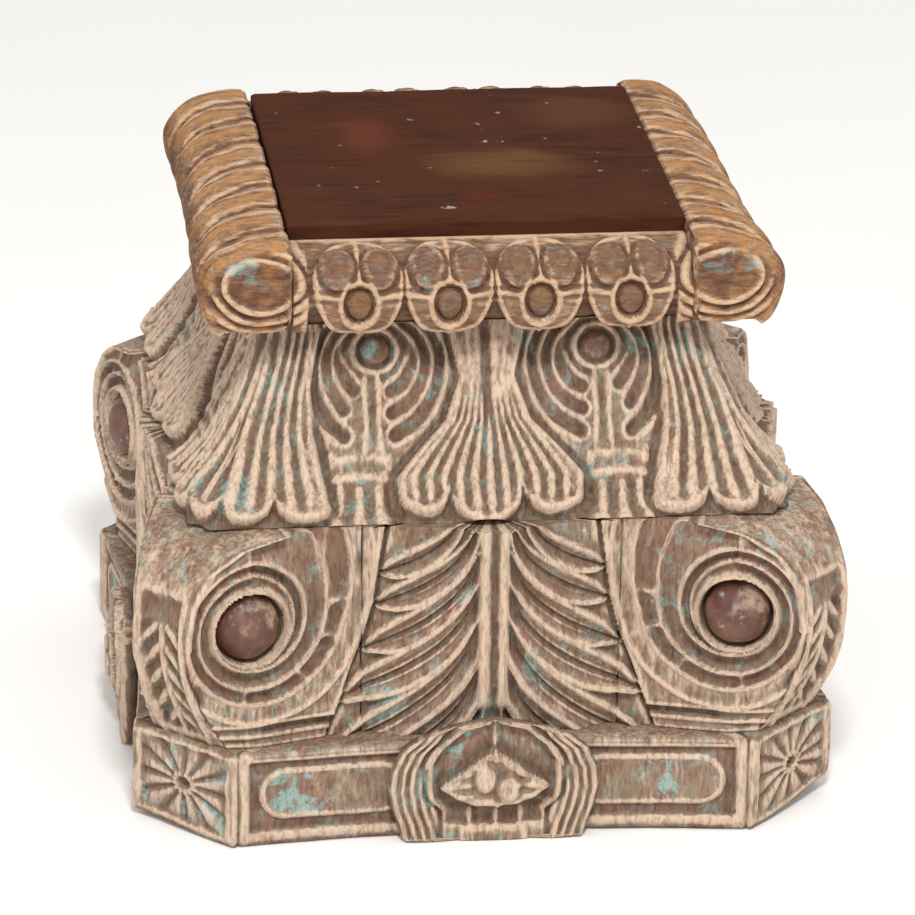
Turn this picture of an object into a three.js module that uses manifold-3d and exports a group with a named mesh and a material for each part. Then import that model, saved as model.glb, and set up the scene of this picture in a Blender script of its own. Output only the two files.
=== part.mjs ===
// Square pedestal carved and painted in the manner of a composite capital.
// It is a stack of glued-up timber: a plinth, a lower tier of four volute blocks and four
// palmette panels around a square core, a bell of leaves, and a moulded cap framing two
// smooth boards. Millimetres, +Z up, origin at the middle of the underside.
// Every side is the same, so a piece is made once for the front (facing -Y) and turned.
import * as THREE from 'three';
import Module from 'manifold-3d';
import { mergeVertices } from 'three/addons/utils/BufferGeometryUtils.js';

const wasm = await Module();
wasm.setup();

// ---- Driving dimensions -------------------------------------------------------------
const GLUE_LINE = 0.3;           // clearance between pieces that meet

const PLINTH_HALF = 165;         // half the width across the plinth's sides
const PLINTH_HEIGHT = 47;
const PLINTH_CHAMFER = 43;       // each leg of the cut corner
const PLINTH_SAG = 9;            // how far each side curves in at its middle

const FLEURON_HALF = 50;         // half the width of the leaf ornament on each plinth side
const FLEURON_RISE = 13;         // height of its tip above the plinth
const FLEURON_THICKNESS = 6;

const TIER_HEIGHT = 103;         // lower tier, plinth to bell
const PALMETTE_SETBACK = 6;      // palmette crest behind the middle of the plinth's side
const PALMETTE_HALF = 60;        // half the width of a palmette panel
const PALMETTE_THICKNESS = 50;   // crest of the palmette to the core
const PALMETTE_CROWN = 9;        // crest above the panel's edges

const VOLUTE_OVERHANG = 17;      // nose of a volute block beyond the plinth's cut corner
const VOLUTE_NOSE = 30;          // width of the nose's flat
const VOLUTE_FOOT_INSET = 20;    // nose to the foot of the block, along the diagonal
const VOLUTE_ROLL = 46;          // how far back the roll reaches the block's top
const NOSE_BULGE_HEIGHT = 56;    // height above the plinth at which the nose stands out most

const EYE_RADIUS = 16;
const EYE_DOME = 13;             // height of the eye above the floor of its dish
const EYE_INSET = 33;            // eye's centre from the outer edge of the face
const EYE_HEIGHT = 60;           // eye's centre above the plinth
const EYE_PEG_RADIUS = 5;
const EYE_PEG_LENGTH = 12;
const DISH_MARGIN = 4;           // dish around the eye
const DISH_DEPTH = 10;

const BELL_HEIGHT = 90;
const BELL_SETBACK = 9;          // foot of the bell behind the palmette crest
const BELL_TAPER = 43;           // foot to neck, on each side
const BELL_HOLLOW = 5;           // how far the bell's side curves in
const BELL_CORNER = 10;          // flat worn on the bell's corner leaves

const CAP_HEIGHT = 43;           // neck of the bell to the top
const CAP_OVERHANG = 34;         // cap beyond the neck, on each side
const SIDE_RAIL_WIDTH = 40;
const FRONT_RAIL_WIDTH = 34;
const RAIL_UNDERSIDE = 2;        // underside of the rails above the neck
const FRONT_RAIL_DROP = 8;       // front and back rails below the top
const RAIL_NOSE_HEIGHT = 17;     // height above the neck at which the rails stand out most
const RAIL_BELLY = 9;            // softness of the rails' rounded edges
const RAIL_END_ROUND = 24;       // rounding of the cap's corners in plan

const BOARD_THICKNESS = 20;      // smooth boards on top
const BOARD_SEAM = -15;          // Y of the joint between the two boards

const DOWEL_RADIUS = 6;
const DOWEL_LENGTH = 36;
const DOWEL_OFFSET = 48;         // of each dowel from the middle, in X and in Y
const DOWEL_CLEARANCE = 0.3;

// ---- Derived places -----------------------------------------------------------------
const plinthFace = PLINTH_HALF - PLINTH_SAG;
const palmetteCrest = plinthFace - PALMETTE_SETBACK;
const palmetteEdge = palmetteCrest - PALMETTE_CROWN;
const coreHalf = palmetteCrest - PALMETTE_THICKNESS;
const noseReach = (2 * PLINTH_HALF - PLINTH_CHAMFER) / Math.SQRT2 + VOLUTE_OVERHANG;
const noseNear = (noseReach - VOLUTE_NOSE / 2) / Math.SQRT2;
const noseFar = (noseReach + VOLUTE_NOSE / 2) / Math.SQRT2;
const dishRadius = EYE_RADIUS + DISH_MARGIN;
const faceTurn = Math.atan2(noseFar - palmetteEdge, noseNear - PALMETTE_HALF);
const bellFootHalf = palmetteCrest - BELL_SETBACK;
const neckHalf = bellFootHalf - BELL_TAPER;
const capHalf = neckHalf + CAP_OVERHANG;
const panelHalfX = capHalf - SIDE_RAIL_WIDTH;
const panelHalfY = capHalf - FRONT_RAIL_WIDTH;
const tierFloor = PLINTH_HEIGHT;
const bellFloor = tierFloor + TIER_HEIGHT;
const capFloor = bellFloor + BELL_HEIGHT;
const topHeight = capFloor + CAP_HEIGHT;
const BEYOND = 400;              // longer than the object is wide, for cutting prisms

// ---- Wood finishes ------------------------------------------------------------------
const finish = (color, roughness) =>
  new THREE.MeshStandardMaterial({ color, roughness, metalness: 0 });
const limed = finish(0x9a8268, 0.85);
const eyeRed = finish(0x5f3a32, 0.6);
const ochre = finish(0xb98c58, 0.8);
const darkBoard = finish(0x4c3024, 0.5);
const rawWood = finish(0x8a6a48, 0.9);
const pegWood = finish(0xc2a06e, 0.8);

// ---- Tools for solids ---------------------------------------------------------------
/** A closed three.js geometry as a manifold solid. */
function solid(geometry) {
  const bare = geometry.clone();
  bare.deleteAttribute('normal');
  bare.deleteAttribute('uv');
  const merged = mergeVertices(bare, 1e-4);
  return new wasm.Manifold(new wasm.Mesh({
    numProp: 3,
    vertProperties: new Float32Array(merged.attributes.position.array),
    triVerts: new Uint32Array(merged.index.array),
  }));
}

/** A manifold solid as a three.js geometry. */
function geometryOf(manifold) {
  const mesh = manifold.getMesh();
  const geometry = new THREE.BufferGeometry();
  geometry.setAttribute('position', new THREE.BufferAttribute(new Float32Array(mesh.vertProperties), 3));
  geometry.setIndex(new THREE.BufferAttribute(new Uint32Array(mesh.triVerts), 1));
  geometry.computeVertexNormals();
  return geometry;
}

/** A plan shape stood up between two heights. */
function upright(shape, low, high) {
  const geometry = new THREE.ExtrudeGeometry(shape, { depth: high - low, bevelEnabled: false, curveSegments: 8 });
  return geometry.translate(0, 0, low);
}

/** An elevation shape (across, height) carried along Y from one end to the other. */
function alongY(shape, start, end) {
  const geometry = new THREE.ExtrudeGeometry(shape, { depth: end - start, bevelEnabled: false, curveSegments: 8 });
  return geometry.rotateX(Math.PI / 2).translate(0, end, 0);
}

/** A rectangle in plan. */
function rectangle(lowX, lowY, highX, highY) {
  const shape = new THREE.Shape();
  shape.moveTo(lowX, lowY);
  shape.lineTo(highX, lowY);
  shape.lineTo(highX, highY);
  shape.lineTo(lowX, highY);
  return shape;
}

/** A round bar standing along Z. */
function bar(radius, low, high, x, y) {
  const geometry = new THREE.CylinderGeometry(radius, radius, high - low, 16);
  return geometry.rotateX(Math.PI / 2).translate(x, y, (low + high) / 2);
}

/** The four places of the dowels in each glued joint. */
const dowelPlaces = [[-1, -1], [1, -1], [1, 1], [-1, 1]].map(
  ([x, y]) => [x * DOWEL_OFFSET, y * DOWEL_OFFSET]);

/** Cuts the four half-length dowel holes that open at a joint's height. */
function drill(block, jointHeight) {
  const reach = DOWEL_LENGTH / 2 + DOWEL_CLEARANCE;
  return dowelPlaces.reduce((left, [x, y]) => left.subtract(solid(
    bar(DOWEL_RADIUS + DOWEL_CLEARANCE, jointHeight - reach, jointHeight + reach, x, y))), block);
}

const pedestal = new THREE.Group();
pedestal.name = 'pedestal';
const SIDES = ['front', 'right', 'back', 'left'];

/** Adds one named piece, turned by quarter turns about the middle. */
function add(name, geometry, material, quarterTurns = 0) {
  const piece = new THREE.Mesh(geometry, material);
  piece.name = name;
  piece.rotation.z = quarterTurns * Math.PI / 2;
  pedestal.add(piece);
}

// ---- Plinth: an octagonal slab with slightly hollow sides ----------------------------
function plinth() {
  const outline = new THREE.Shape();
  const cornerHalf = PLINTH_HALF - PLINTH_CHAMFER;
  SIDES.forEach((side, turns) => {
    const turn = (x, y) => new THREE.Vector2(x, y).rotateAround(new THREE.Vector2(), turns * Math.PI / 2);
    const start = turn(-cornerHalf, -PLINTH_HALF);
    const middle = turn(0, -PLINTH_HALF + 2 * PLINTH_SAG);
    const end = turn(cornerHalf, -PLINTH_HALF);
    if (turns === 0) outline.moveTo(start.x, start.y);
    else outline.lineTo(start.x, start.y);
    outline.quadraticCurveTo(middle.x, middle.y, end.x, end.y);
  });
  return geometryOf(drill(solid(upright(outline, 0, PLINTH_HEIGHT)), tierFloor));
}
add('plinth', plinth(), limed);

// ---- Fleurons: pointed leaf ornaments planted on the plinth's sides --------------------
function fleuron() {
  const shape = new THREE.Shape();
  const shoulder = PLINTH_HEIGHT / 2;
  const tip = PLINTH_HEIGHT + FLEURON_RISE;
  shape.moveTo(-FLEURON_HALF, 0);
  shape.lineTo(FLEURON_HALF, 0);
  shape.lineTo(FLEURON_HALF, shoulder);
  shape.quadraticCurveTo(FLEURON_HALF / 2, shoulder + (tip - shoulder) / 2, 0, tip);
  shape.quadraticCurveTo(-FLEURON_HALF / 2, shoulder + (tip - shoulder) / 2, -FLEURON_HALF, shoulder);
  // The plinth curves forward by this much from its middle to the ornament's edges.
  const cornerHalf = PLINTH_HALF - PLINTH_CHAMFER;
  const curveForward = PLINTH_SAG * (FLEURON_HALF / cornerHalf) ** 2;
  const back = -plinthFace - curveForward - GLUE_LINE;
  return alongY(shape, back - FLEURON_THICKNESS, back);
}
SIDES.forEach((side, turns) => add(`fleuron_${side}`, fleuron(), limed, turns));

// ---- Core: the square block that the carved tier is glued around -----------------------
function core() {
  const block = solid(upright(rectangle(-coreHalf, -coreHalf, coreHalf, coreHalf),
    tierFloor + GLUE_LINE, bellFloor));
  return geometryOf(drill(drill(block, tierFloor), bellFloor));
}
add('core_block', core(), rawWood);

// ---- Palmettes: crowned panels between the volutes -------------------------------------
function palmette() {
  const half = PALMETTE_HALF - GLUE_LINE;
  const plan = new THREE.Shape();
  plan.moveTo(-half, -coreHalf - GLUE_LINE);
  plan.lineTo(-half, -palmetteEdge);
  plan.quadraticCurveTo(0, -palmetteCrest - PALMETTE_CROWN, half, -palmetteEdge);
  plan.lineTo(half, -coreHalf - GLUE_LINE);
  return upright(plan, tierFloor + GLUE_LINE, bellFloor);
}
SIDES.forEach((side, turns) => add(`palmette_${side}`, palmette(), limed, turns));

// ---- Volute blocks: L-shaped corner blocks with a rolled nose --------------------------
/** Puts a geometry made around the origin, facing -Y, at the eye's place on a face. */
function onFace(geometry, outward) {
  const along = noseNear - EYE_INSET;
  const across = palmetteEdge + (along - PALMETTE_HALF) * Math.tan(faceTurn);
  const centre = new THREE.Vector3(along, -across, tierFloor + EYE_HEIGHT);
  const normal = new THREE.Vector3(-Math.sin(faceTurn), -Math.cos(faceTurn), 0);
  geometry.rotateZ(-faceTurn);
  const place = centre.addScaledVector(normal, outward);
  return geometry.translate(place.x, place.y, place.z);
}

/** A round bar across the face, from one depth to another, positive outwards. */
function faceBar(radius, inner, outer) {
  const geometry = new THREE.CylinderGeometry(radius, radius, outer - inner, 24);
  return onFace(geometry, (inner + outer) / 2);
}

/** Swaps a face's left and right by mirroring in the front right diagonal. */
const inDiagonal = (block) => block.mirror([1, 1, 0]);

function voluteBlock() {
  const plan = new THREE.Shape();
  const inner = coreHalf + GLUE_LINE;
  plan.moveTo(PALMETTE_HALF, -inner);
  plan.lineTo(PALMETTE_HALF, -palmetteEdge);
  plan.lineTo(noseNear, -noseFar);
  plan.lineTo(noseFar, -noseNear);
  plan.lineTo(palmetteEdge, -PALMETTE_HALF);
  plan.lineTo(inner, -PALMETTE_HALF);
  plan.lineTo(inner, -inner);

  const low = tierFloor + GLUE_LINE;
  const bulge = tierFloor + NOSE_BULGE_HEIGHT;
  const roll = new THREE.Shape();
  roll.moveTo(0, low);
  roll.lineTo(noseReach - VOLUTE_FOOT_INSET, low);
  roll.quadraticCurveTo(noseReach, (low + bulge) / 2, noseReach, bulge);
  roll.quadraticCurveTo(noseReach, bellFloor, noseReach - VOLUTE_ROLL, bellFloor);
  roll.lineTo(0, bellFloor);

  const rolled = solid(alongY(roll, -BEYOND, BEYOND).rotateZ(-Math.PI / 4));
  const dish = solid(faceBar(dishRadius, -DISH_DEPTH, EYE_RADIUS));
  const socket = solid(faceBar(EYE_PEG_RADIUS + DOWEL_CLEARANCE,
    -DISH_DEPTH - EYE_PEG_LENGTH - DOWEL_CLEARANCE, 0));
  const seat = dish.add(socket);
  const block = solid(upright(plan, low, bellFloor)).intersect(rolled);
  return geometryOf(block.subtract(seat).subtract(inDiagonal(seat)));
}
const CORNERS = ['front_right', 'back_right', 'back_left', 'front_left'];
CORNERS.forEach((corner, turns) => add(`volute_${corner}`, voluteBlock(), limed, turns));

// ---- Volute eyes: turned domes with a peg behind ---------------------------------------
function eye() {
  const profile = [
    new THREE.Vector2(0, -EYE_PEG_LENGTH),
    new THREE.Vector2(EYE_PEG_RADIUS, -EYE_PEG_LENGTH),
    new THREE.Vector2(EYE_PEG_RADIUS, GLUE_LINE),
  ];
  const steps = 5;
  for (let step = 0; step < steps; step += 1) {
    const angle = step / steps * Math.PI / 2;
    const rise = GLUE_LINE + EYE_DOME * Math.sin(angle);
    profile.push(new THREE.Vector2(EYE_RADIUS * Math.cos(angle), rise));
  }
  profile.push(new THREE.Vector2(0, GLUE_LINE + EYE_DOME));
  const turned = new THREE.LatheGeometry(profile, 20).rotateX(Math.PI);
  return onFace(turned, -DISH_DEPTH);
}
SIDES.forEach((side, turns) => {
  const rightEye = solid(eye());
  add(`eye_${side}_a`, geometryOf(rightEye.mirror([1, 0, 0])), eyeRed, turns);
  add(`eye_${side}_b`, geometryOf(rightEye), eyeRed, turns);
});

// ---- Bell: the tapering block of leaves ------------------------------------------------
function bell() {
  const low = bellFloor + GLUE_LINE;
  const middle = (bellFootHalf + neckHalf) / 2 - 2 * BELL_HOLLOW;
  const profile = new THREE.Shape();
  profile.moveTo(-bellFootHalf, low);
  profile.lineTo(bellFootHalf, low);
  profile.quadraticCurveTo(middle, (low + capFloor) / 2, neckHalf, capFloor);
  profile.lineTo(-neckHalf, capFloor);
  profile.quadraticCurveTo(-middle, (low + capFloor) / 2, -bellFootHalf, low);
  const across = solid(alongY(profile, -BEYOND, BEYOND));
  const through = across.rotate([0, 0, 90]);
  const foot = bellFootHalf;
  const worn = BELL_CORNER;
  const plan = new THREE.Shape();
  plan.moveTo(-foot + worn, -foot);
  plan.lineTo(foot - worn, -foot);
  plan.lineTo(foot, -foot + worn);
  plan.lineTo(foot, foot - worn);
  plan.lineTo(foot - worn, foot);
  plan.lineTo(-foot + worn, foot);
  plan.lineTo(-foot, foot - worn);
  plan.lineTo(-foot, -foot + worn);
  const block = across.intersect(through).intersect(solid(upright(plan, low, capFloor)));
  return geometryOf(drill(drill(block, bellFloor), capFloor));
}
add('bell_block', bell(), limed);

// ---- Cap: a hidden board, four moulded rails and two smooth boards ---------------------
const boardFloor = topHeight - BOARD_THICKNESS;
function capBase() {
  const block = solid(upright(
    rectangle(-panelHalfX + GLUE_LINE, -panelHalfY + GLUE_LINE, panelHalfX - GLUE_LINE, panelHalfY - GLUE_LINE),
    capFloor + GLUE_LINE, boardFloor - GLUE_LINE));
  return geometryOf(drill(block, capFloor));
}
add('cap_base', capBase(), rawWood);

/** Section of a rail: a rounded nose, with its flat inner edge and underside. */
function railSection(inner, outer, top) {
  const under = capFloor + RAIL_UNDERSIDE;
  const nose = capFloor + RAIL_NOSE_HEIGHT;
  const shape = new THREE.Shape();
  shape.moveTo(inner, under);
  shape.lineTo(outer - RAIL_BELLY, under);
  shape.quadraticCurveTo(outer, under, outer, nose);
  shape.quadraticCurveTo(outer, top - RAIL_BELLY / 2, outer - 3 * RAIL_BELLY, top);
  shape.lineTo(inner, top);
  return shape;
}

/** The cap's plan with rounded corners. */
function capPlan() {
  const shape = new THREE.Shape();
  shape.absarc(capHalf - RAIL_END_ROUND, capHalf - RAIL_END_ROUND, RAIL_END_ROUND, 0, Math.PI / 2);
  shape.absarc(-capHalf + RAIL_END_ROUND, capHalf - RAIL_END_ROUND, RAIL_END_ROUND, Math.PI / 2, Math.PI);
  shape.absarc(-capHalf + RAIL_END_ROUND, -capHalf + RAIL_END_ROUND, RAIL_END_ROUND, Math.PI, 1.5 * Math.PI);
  shape.absarc(capHalf - RAIL_END_ROUND, -capHalf + RAIL_END_ROUND, RAIL_END_ROUND, 1.5 * Math.PI, 2 * Math.PI);
  return shape;
}

function sideRail() {
  const run = solid(alongY(railSection(panelHalfX, capHalf, topHeight), -capHalf, capHalf));
  const tumbled = solid(alongY(railSection(-BEYOND, capHalf, topHeight), -BEYOND, BEYOND));
  const front = tumbled.rotate([0, 0, -90]);
  const back = tumbled.rotate([0, 0, 90]);
  const ends = solid(upright(capPlan(), capFloor, topHeight));
  return run.intersect(ends).intersect(front).intersect(back);
}
add('side_rail_right', geometryOf(sideRail()), ochre);
add('side_rail_left', geometryOf(sideRail()), ochre, 2);

function frontRail() {
  const half = panelHalfX - GLUE_LINE;
  const section = railSection(panelHalfY, capHalf, topHeight - FRONT_RAIL_DROP);
  return alongY(section, -half, half).rotateZ(-Math.PI / 2);
}
add('medallion_rail_front', frontRail(), limed);
add('medallion_rail_back', frontRail(), limed, 2);

/** One smooth board, between two Y places. */
const board = (front, back) => upright(
  rectangle(-panelHalfX + GLUE_LINE, front, panelHalfX - GLUE_LINE, back), boardFloor, topHeight);
add('top_board_front', board(-panelHalfY + GLUE_LINE, BOARD_SEAM - GLUE_LINE / 2), darkBoard);
add('top_board_back', board(BOARD_SEAM + GLUE_LINE / 2, panelHalfY - GLUE_LINE), darkBoard);

// ---- Dowels: four in each glued joint --------------------------------------------------
const joints = { plinth: tierFloor, bell: bellFloor, cap: capFloor };
Object.entries(joints).forEach(([joint, height]) => {
  dowelPlaces.forEach(([x, y], index) => {
    const dowel = bar(DOWEL_RADIUS, height - DOWEL_LENGTH / 2, height + DOWEL_LENGTH / 2, x, y);
    add(`dowel_${joint}_${index + 1}`, dowel, pegWood);
  });
});

export default pedestal;
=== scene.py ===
import math

import bpy
import numpy as np
from mathutils import Matrix, Vector


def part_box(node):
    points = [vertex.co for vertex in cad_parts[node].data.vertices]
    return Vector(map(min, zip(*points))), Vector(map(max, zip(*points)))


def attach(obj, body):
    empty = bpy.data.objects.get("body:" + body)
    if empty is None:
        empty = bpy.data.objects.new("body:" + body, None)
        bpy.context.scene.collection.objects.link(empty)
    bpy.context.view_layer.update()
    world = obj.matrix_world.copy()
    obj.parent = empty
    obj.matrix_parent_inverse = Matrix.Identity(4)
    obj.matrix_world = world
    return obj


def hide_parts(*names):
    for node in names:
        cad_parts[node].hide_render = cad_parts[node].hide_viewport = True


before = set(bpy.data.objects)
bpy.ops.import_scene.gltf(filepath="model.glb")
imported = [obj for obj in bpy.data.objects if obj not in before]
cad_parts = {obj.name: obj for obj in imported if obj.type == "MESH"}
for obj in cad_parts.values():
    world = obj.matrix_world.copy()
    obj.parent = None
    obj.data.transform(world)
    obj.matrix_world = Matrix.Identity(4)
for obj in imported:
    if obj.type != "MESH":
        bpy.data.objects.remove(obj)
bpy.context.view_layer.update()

# ---- Camera ----------------------------------------------------------------------------
# A long lens a few steps back, a little left of the middle and looking down on the top.
aim = Vector((0.0005, 0.0, 0.1275))
swing, rise, tilt = math.radians(-7.05), math.radians(21.21), math.radians(0.94)
away = Vector((math.sin(swing) * math.cos(rise), -math.cos(swing) * math.cos(rise), math.sin(rise)))
level = Vector((math.cos(swing), math.sin(swing), 0.0))
upright = away.cross(level)
side = math.cos(tilt) * level + math.sin(tilt) * upright
top = -math.sin(tilt) * level + math.cos(tilt) * upright
lens = bpy.data.cameras.new("camera")
lens.sensor_width = 36.0
lens.lens = 244.7
lens.clip_end = 50.0
camera = bpy.data.objects.new("camera", lens)
stand = aim + away * 3.0
turn = Matrix((side, top, away)).transposed()
camera.matrix_world = Matrix.Translation(stand) @ turn.to_4x4()
bpy.context.scene.collection.objects.link(camera)
bpy.context.scene.camera = camera


# ---- Floor and light -------------------------------------------------------------------
# A pale floor, a large soft lamp above the camera and two fills, under an even pale sky.
def socket_set(socket, value):
    """Links a socket to another node's output, or gives it a plain value."""
    if isinstance(value, bpy.types.NodeSocket):
        socket.id_data.links.new(value, socket)
    else:
        socket.default_value = value


def node(tree, kind, settings=None, **inputs):
    """Adds one shader node: settings are its own properties, inputs its sockets by name or number."""
    made = tree.nodes.new("ShaderNode" + kind)
    for key, value in (settings or {}).items():
        setattr(made, key, value)
    for key, value in inputs.items():
        name = int(key[1:]) if key[0] == "_" and key[1:].isdigit() else key.replace("_", " ")
        socket_set(made.inputs[name], value)
    return made


def rgb(red, green, blue):
    """A display colour, 0 to 255, as the linear colour that a shader takes."""
    def linear(part):
        part = part / 255
        return part / 12.92 if part <= 0.04045 else ((part + 0.055) / 1.055) ** 2.4
    return (linear(red), linear(green), linear(blue), 1.0)


def new_material(name):
    """An empty node material with its output and its surface shader."""
    material = bpy.data.materials.new(name)
    material.use_nodes = True
    tree = material.node_tree
    tree.nodes.clear()
    shader = node(tree, "BsdfPrincipled")
    output = node(tree, "OutputMaterial")
    tree.links.new(shader.outputs[0], output.inputs[0])
    return material, tree, shader


def noise(tree, where, scale, detail=4.0, roughness=0.55, distortion=0.0):
    """Cloudy noise, about 0 to 1, with lumps of about 1 / scale metres."""
    made = node(tree, "TexNoise", Vector=where, Scale=scale, Detail=detail, Roughness=roughness,
                Distortion=distortion)
    return made.outputs[0]


def ramp_between(tree, value, low, high, out_low=0.0, out_high=1.0):
    """A value carried smoothly from one range to another and held at both ends."""
    made = node(tree, "MapRange", {"interpolation_type": "SMOOTHSTEP"}, _0=value, _1=low, _2=high,
                _3=out_low, _4=out_high)
    return made.outputs[0]


def plus(tree, first, second):
    """Two values added."""
    return node(tree, "Math", {"operation": "ADD"}, _0=first, _1=second).outputs[0]


def times(tree, first, second):
    """Two values multiplied."""
    return node(tree, "Math", {"operation": "MULTIPLY"}, _0=first, _1=second).outputs[0]


def mixed(tree, share, first, second, mode="MIX"):
    """Two colours mixed by a share."""
    made = node(tree, "Mix", {"data_type": "RGBA", "blend_type": mode}, _0=share, _6=first, _7=second)
    return made.outputs[2]


def stretched(tree, x, y, z):
    """Object coordinates scaled along each axis, for grain that runs one way."""
    place = node(tree, "TexCoord").outputs["Object"]
    return node(tree, "Mapping", Vector=place, Scale=(x, y, z)).outputs[0]


def roughened(tree, shader, height, strength, depth):
    """Gives a shader fine bumps from a height value, that many metres deep."""
    lifted = node(tree, "Bump", Strength=strength, Distance=depth, Height=height)
    tree.links.new(lifted.outputs[0], shader.inputs["Normal"])


def floor_material():
    """Pale matt paper with a faint mottle."""
    material, tree, shader = new_material("floor_paper")
    place = node(tree, "TexCoord").outputs["Object"]
    mottle = noise(tree, place, 3.0)
    colour = mixed(tree, mottle, rgb(246, 245, 243), rgb(252, 251, 250))
    tree.links.new(colour, shader.inputs["Base Color"])
    shader.inputs["Roughness"].default_value = 0.9
    return material


FLOOR_REACH = 6.0
floor_mesh = bpy.data.meshes.new("floor")
corners = [(x * FLOOR_REACH, y * FLOOR_REACH, 0.0) for x, y in ((-1, -1), (1, -1), (1, 1), (-1, 1))]
floor_mesh.from_pydata(corners, [], [(0, 1, 2, 3)])
floor_mesh.materials.append(floor_material())
floor = bpy.data.objects.new("floor", floor_mesh)
bpy.context.scene.collection.objects.link(floor)

world = bpy.data.worlds.new("studio")
world.use_nodes = True
sky = world.node_tree.nodes["Background"]
sky.inputs["Color"].default_value = (1.0, 0.985, 0.965, 1.0)
sky.inputs["Strength"].default_value = 0.60
bpy.context.scene.world = world
bpy.context.scene.view_settings.view_transform = "Standard"


def lamp(name, azimuth, elevation, distance, size, power):
    """A square soft lamp on a sphere about the aim, facing it."""
    data = bpy.data.lights.new(name, "AREA")
    data.size = size
    data.energy = power
    obj = bpy.data.objects.new(name, data)
    angle, height = math.radians(azimuth), math.radians(elevation)
    outward = Vector((math.sin(angle) * math.cos(height), -math.cos(angle) * math.cos(height),
                      math.sin(height)))
    obj.location = aim + outward * distance
    obj.rotation_euler = outward.to_track_quat("Z", "Y").to_euler()
    bpy.context.scene.collection.objects.link(obj)


lamp("key", -4, 46, 2.4, 0.32, 36)
lamp("fill_left", -65, 30, 2.6, 1.6, 12)
lamp("fill_right", 60, 25, 2.6, 1.6, 9)
lamp("behind", 150, 68, 2.8, 1.6, 12)

# ---- Plinth ----------------------------------------------------------------------------
# An octagonal slab of hardwood. Each side has two capsule panels in a raised frame, and each
# cut corner a rosette, all cut in with gouges; the lower edges are knocked about.
MM = 1000.0


def millimetres(node_name):
    """A CAD node's lowest and highest corner, in millimetres."""
    low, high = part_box(node_name)
    return np.array(low) * MM, np.array(high) * MM


def rise_to(start, end, value):
    """0 before start, 1 after end, an S-curve between; start may be the larger."""
    share = np.clip((value - start) / (end - start), 0.0, 1.0)
    return share * share * (3 - 2 * share)


def bump(value, centre, width):
    """A rounded ridge: 1 at the centre, falling as a bell curve of that width."""
    return np.exp(-((value - centre) / width) ** 2)


def flow(points, count=18):
    """A smooth line through a few points: each stretch is the cubic whose slope at a point is half
    the way between that point's neighbours."""
    points = np.array(points, float)
    padded = np.vstack([2 * points[0] - points[1], points, 2 * points[-1] - points[-2]])
    place = np.linspace(0, len(points) - 1 - 1e-6, count)
    cell, t = place.astype(int), (place % 1)[:, None]
    a, b, c, d = (padded[cell + k] for k in range(4))
    return 0.5 * (2 * b + (c - a) * t + (2 * a - 5 * b + 4 * c - d) * t**2 + (3 * b - a - 3 * c + d) * t**3)


def to_line(x, y, line):
    """For each point the distance to a broken line, and how far along it the nearest place is, 0 to 1."""
    nearest = np.full(x.shape, np.inf)
    along = np.zeros(x.shape)
    lengths = np.hypot(*np.diff(line, axis=0).T)
    done = 0.0
    for (x0, y0), (x1, y1), length in zip(line[:-1], line[1:], lengths):
        t = np.clip(((x - x0) * (x1 - x0) + (y - y0) * (y1 - y0)) / length ** 2, 0, 1)
        distance = np.hypot(x - x0 - t * (x1 - x0), y - y0 - t * (y1 - y0))
        along = np.where(distance < nearest, (done + t * length) / lengths.sum(), along)
        nearest = np.minimum(nearest, distance)
        done += length
    return nearest, along


def blades(x, y, leaves):
    """The nearest of several leaflets, each a line of points with its widths along the way: distance
    divided by width, so 0 is a leaflet's middle and 1 its edge, and how far along it that is."""
    nearest = np.full(x.shape, 9.0)
    place = np.zeros(x.shape)
    for points, widths in leaves:
        distance, along = to_line(x, y, flow(points))
        width = np.interp(along, np.linspace(0, 1, len(widths)), widths)
        share = distance / width
        place = np.where(share < nearest, along, place)
        nearest = np.minimum(nearest, share)
    return nearest, place


def fluted(share, depth, edge):
    """A hollow leaflet's section: a dish of that depth in its middle, rising to a thin raised edge
    at 1 and falling away outside it."""
    inside = -depth * (1 - np.minimum(share, 1) ** 2)
    return inside + edge * bump(share, 0.98, 0.22)


def wander(x, y, size, seed):
    """Gentle random heights, -1 to 1, on a lattice of that size with smooth steps between."""
    table = np.random.default_rng(seed).uniform(-1, 1, (64, 64))
    u, v = x / size + 31.7, y / size + 29.3
    i, j = np.floor(u).astype(int), np.floor(v).astype(int)
    s, t = u - i, v - j
    s, t = s * s * (3 - 2 * s), t * t * (3 - 2 * t)
    near, far = (table[i % 64, (j + k) % 64] * (1 - s) + table[(i + 1) % 64, (j + k) % 64] * s for k in (0, 1))
    return near * (1 - t) + far * t


def hand(x, y, seed, amount=0.35):
    """The unevenness of hand work: two sizes of wander and gouge marks."""
    slow, quick = 1.6 * wander(x, y, 24, seed), 0.6 * wander(x, y, 8, seed + 1)
    return amount * (slow + quick + 0.2 * wander(x, y, 3.2, seed + 2))


def averaged(height, cells, around):
    """Each value becomes the mean of its neighbours within some cells, twice along both directions."""
    width = 2 * cells + 1
    for axis, wraps in ((0, False), (1, around)) * 2:
        pad = [(0, 0), (0, 0)]
        pad[axis] = (cells + 1, cells)
        total = np.cumsum(np.pad(height, pad, mode="wrap" if wraps else "edge"), axis=axis)
        upper = np.take(total, np.arange(width, total.shape[axis]), axis=axis)
        lower = np.take(total, np.arange(0, total.shape[axis] - width), axis=axis)
        height = (upper - lower) / width
    return height


def worn_marks(height, spacing, around=False):
    """Where rubbing bares a carving and where dirt gathers: crest is how far a point stands above
    its surroundings within 2 mm, pit how far it lies below those within 4 mm, both 0 to 1."""
    near = averaged(height, max(1, round(2.0 / spacing)), around)
    wide = averaged(height, max(1, round(4.0 / spacing)), around)
    crest = np.clip((height - near) / 0.55, 0, 1)
    pit = np.clip((wide - height) / 1.5, 0, 1)
    return crest, pit


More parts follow.
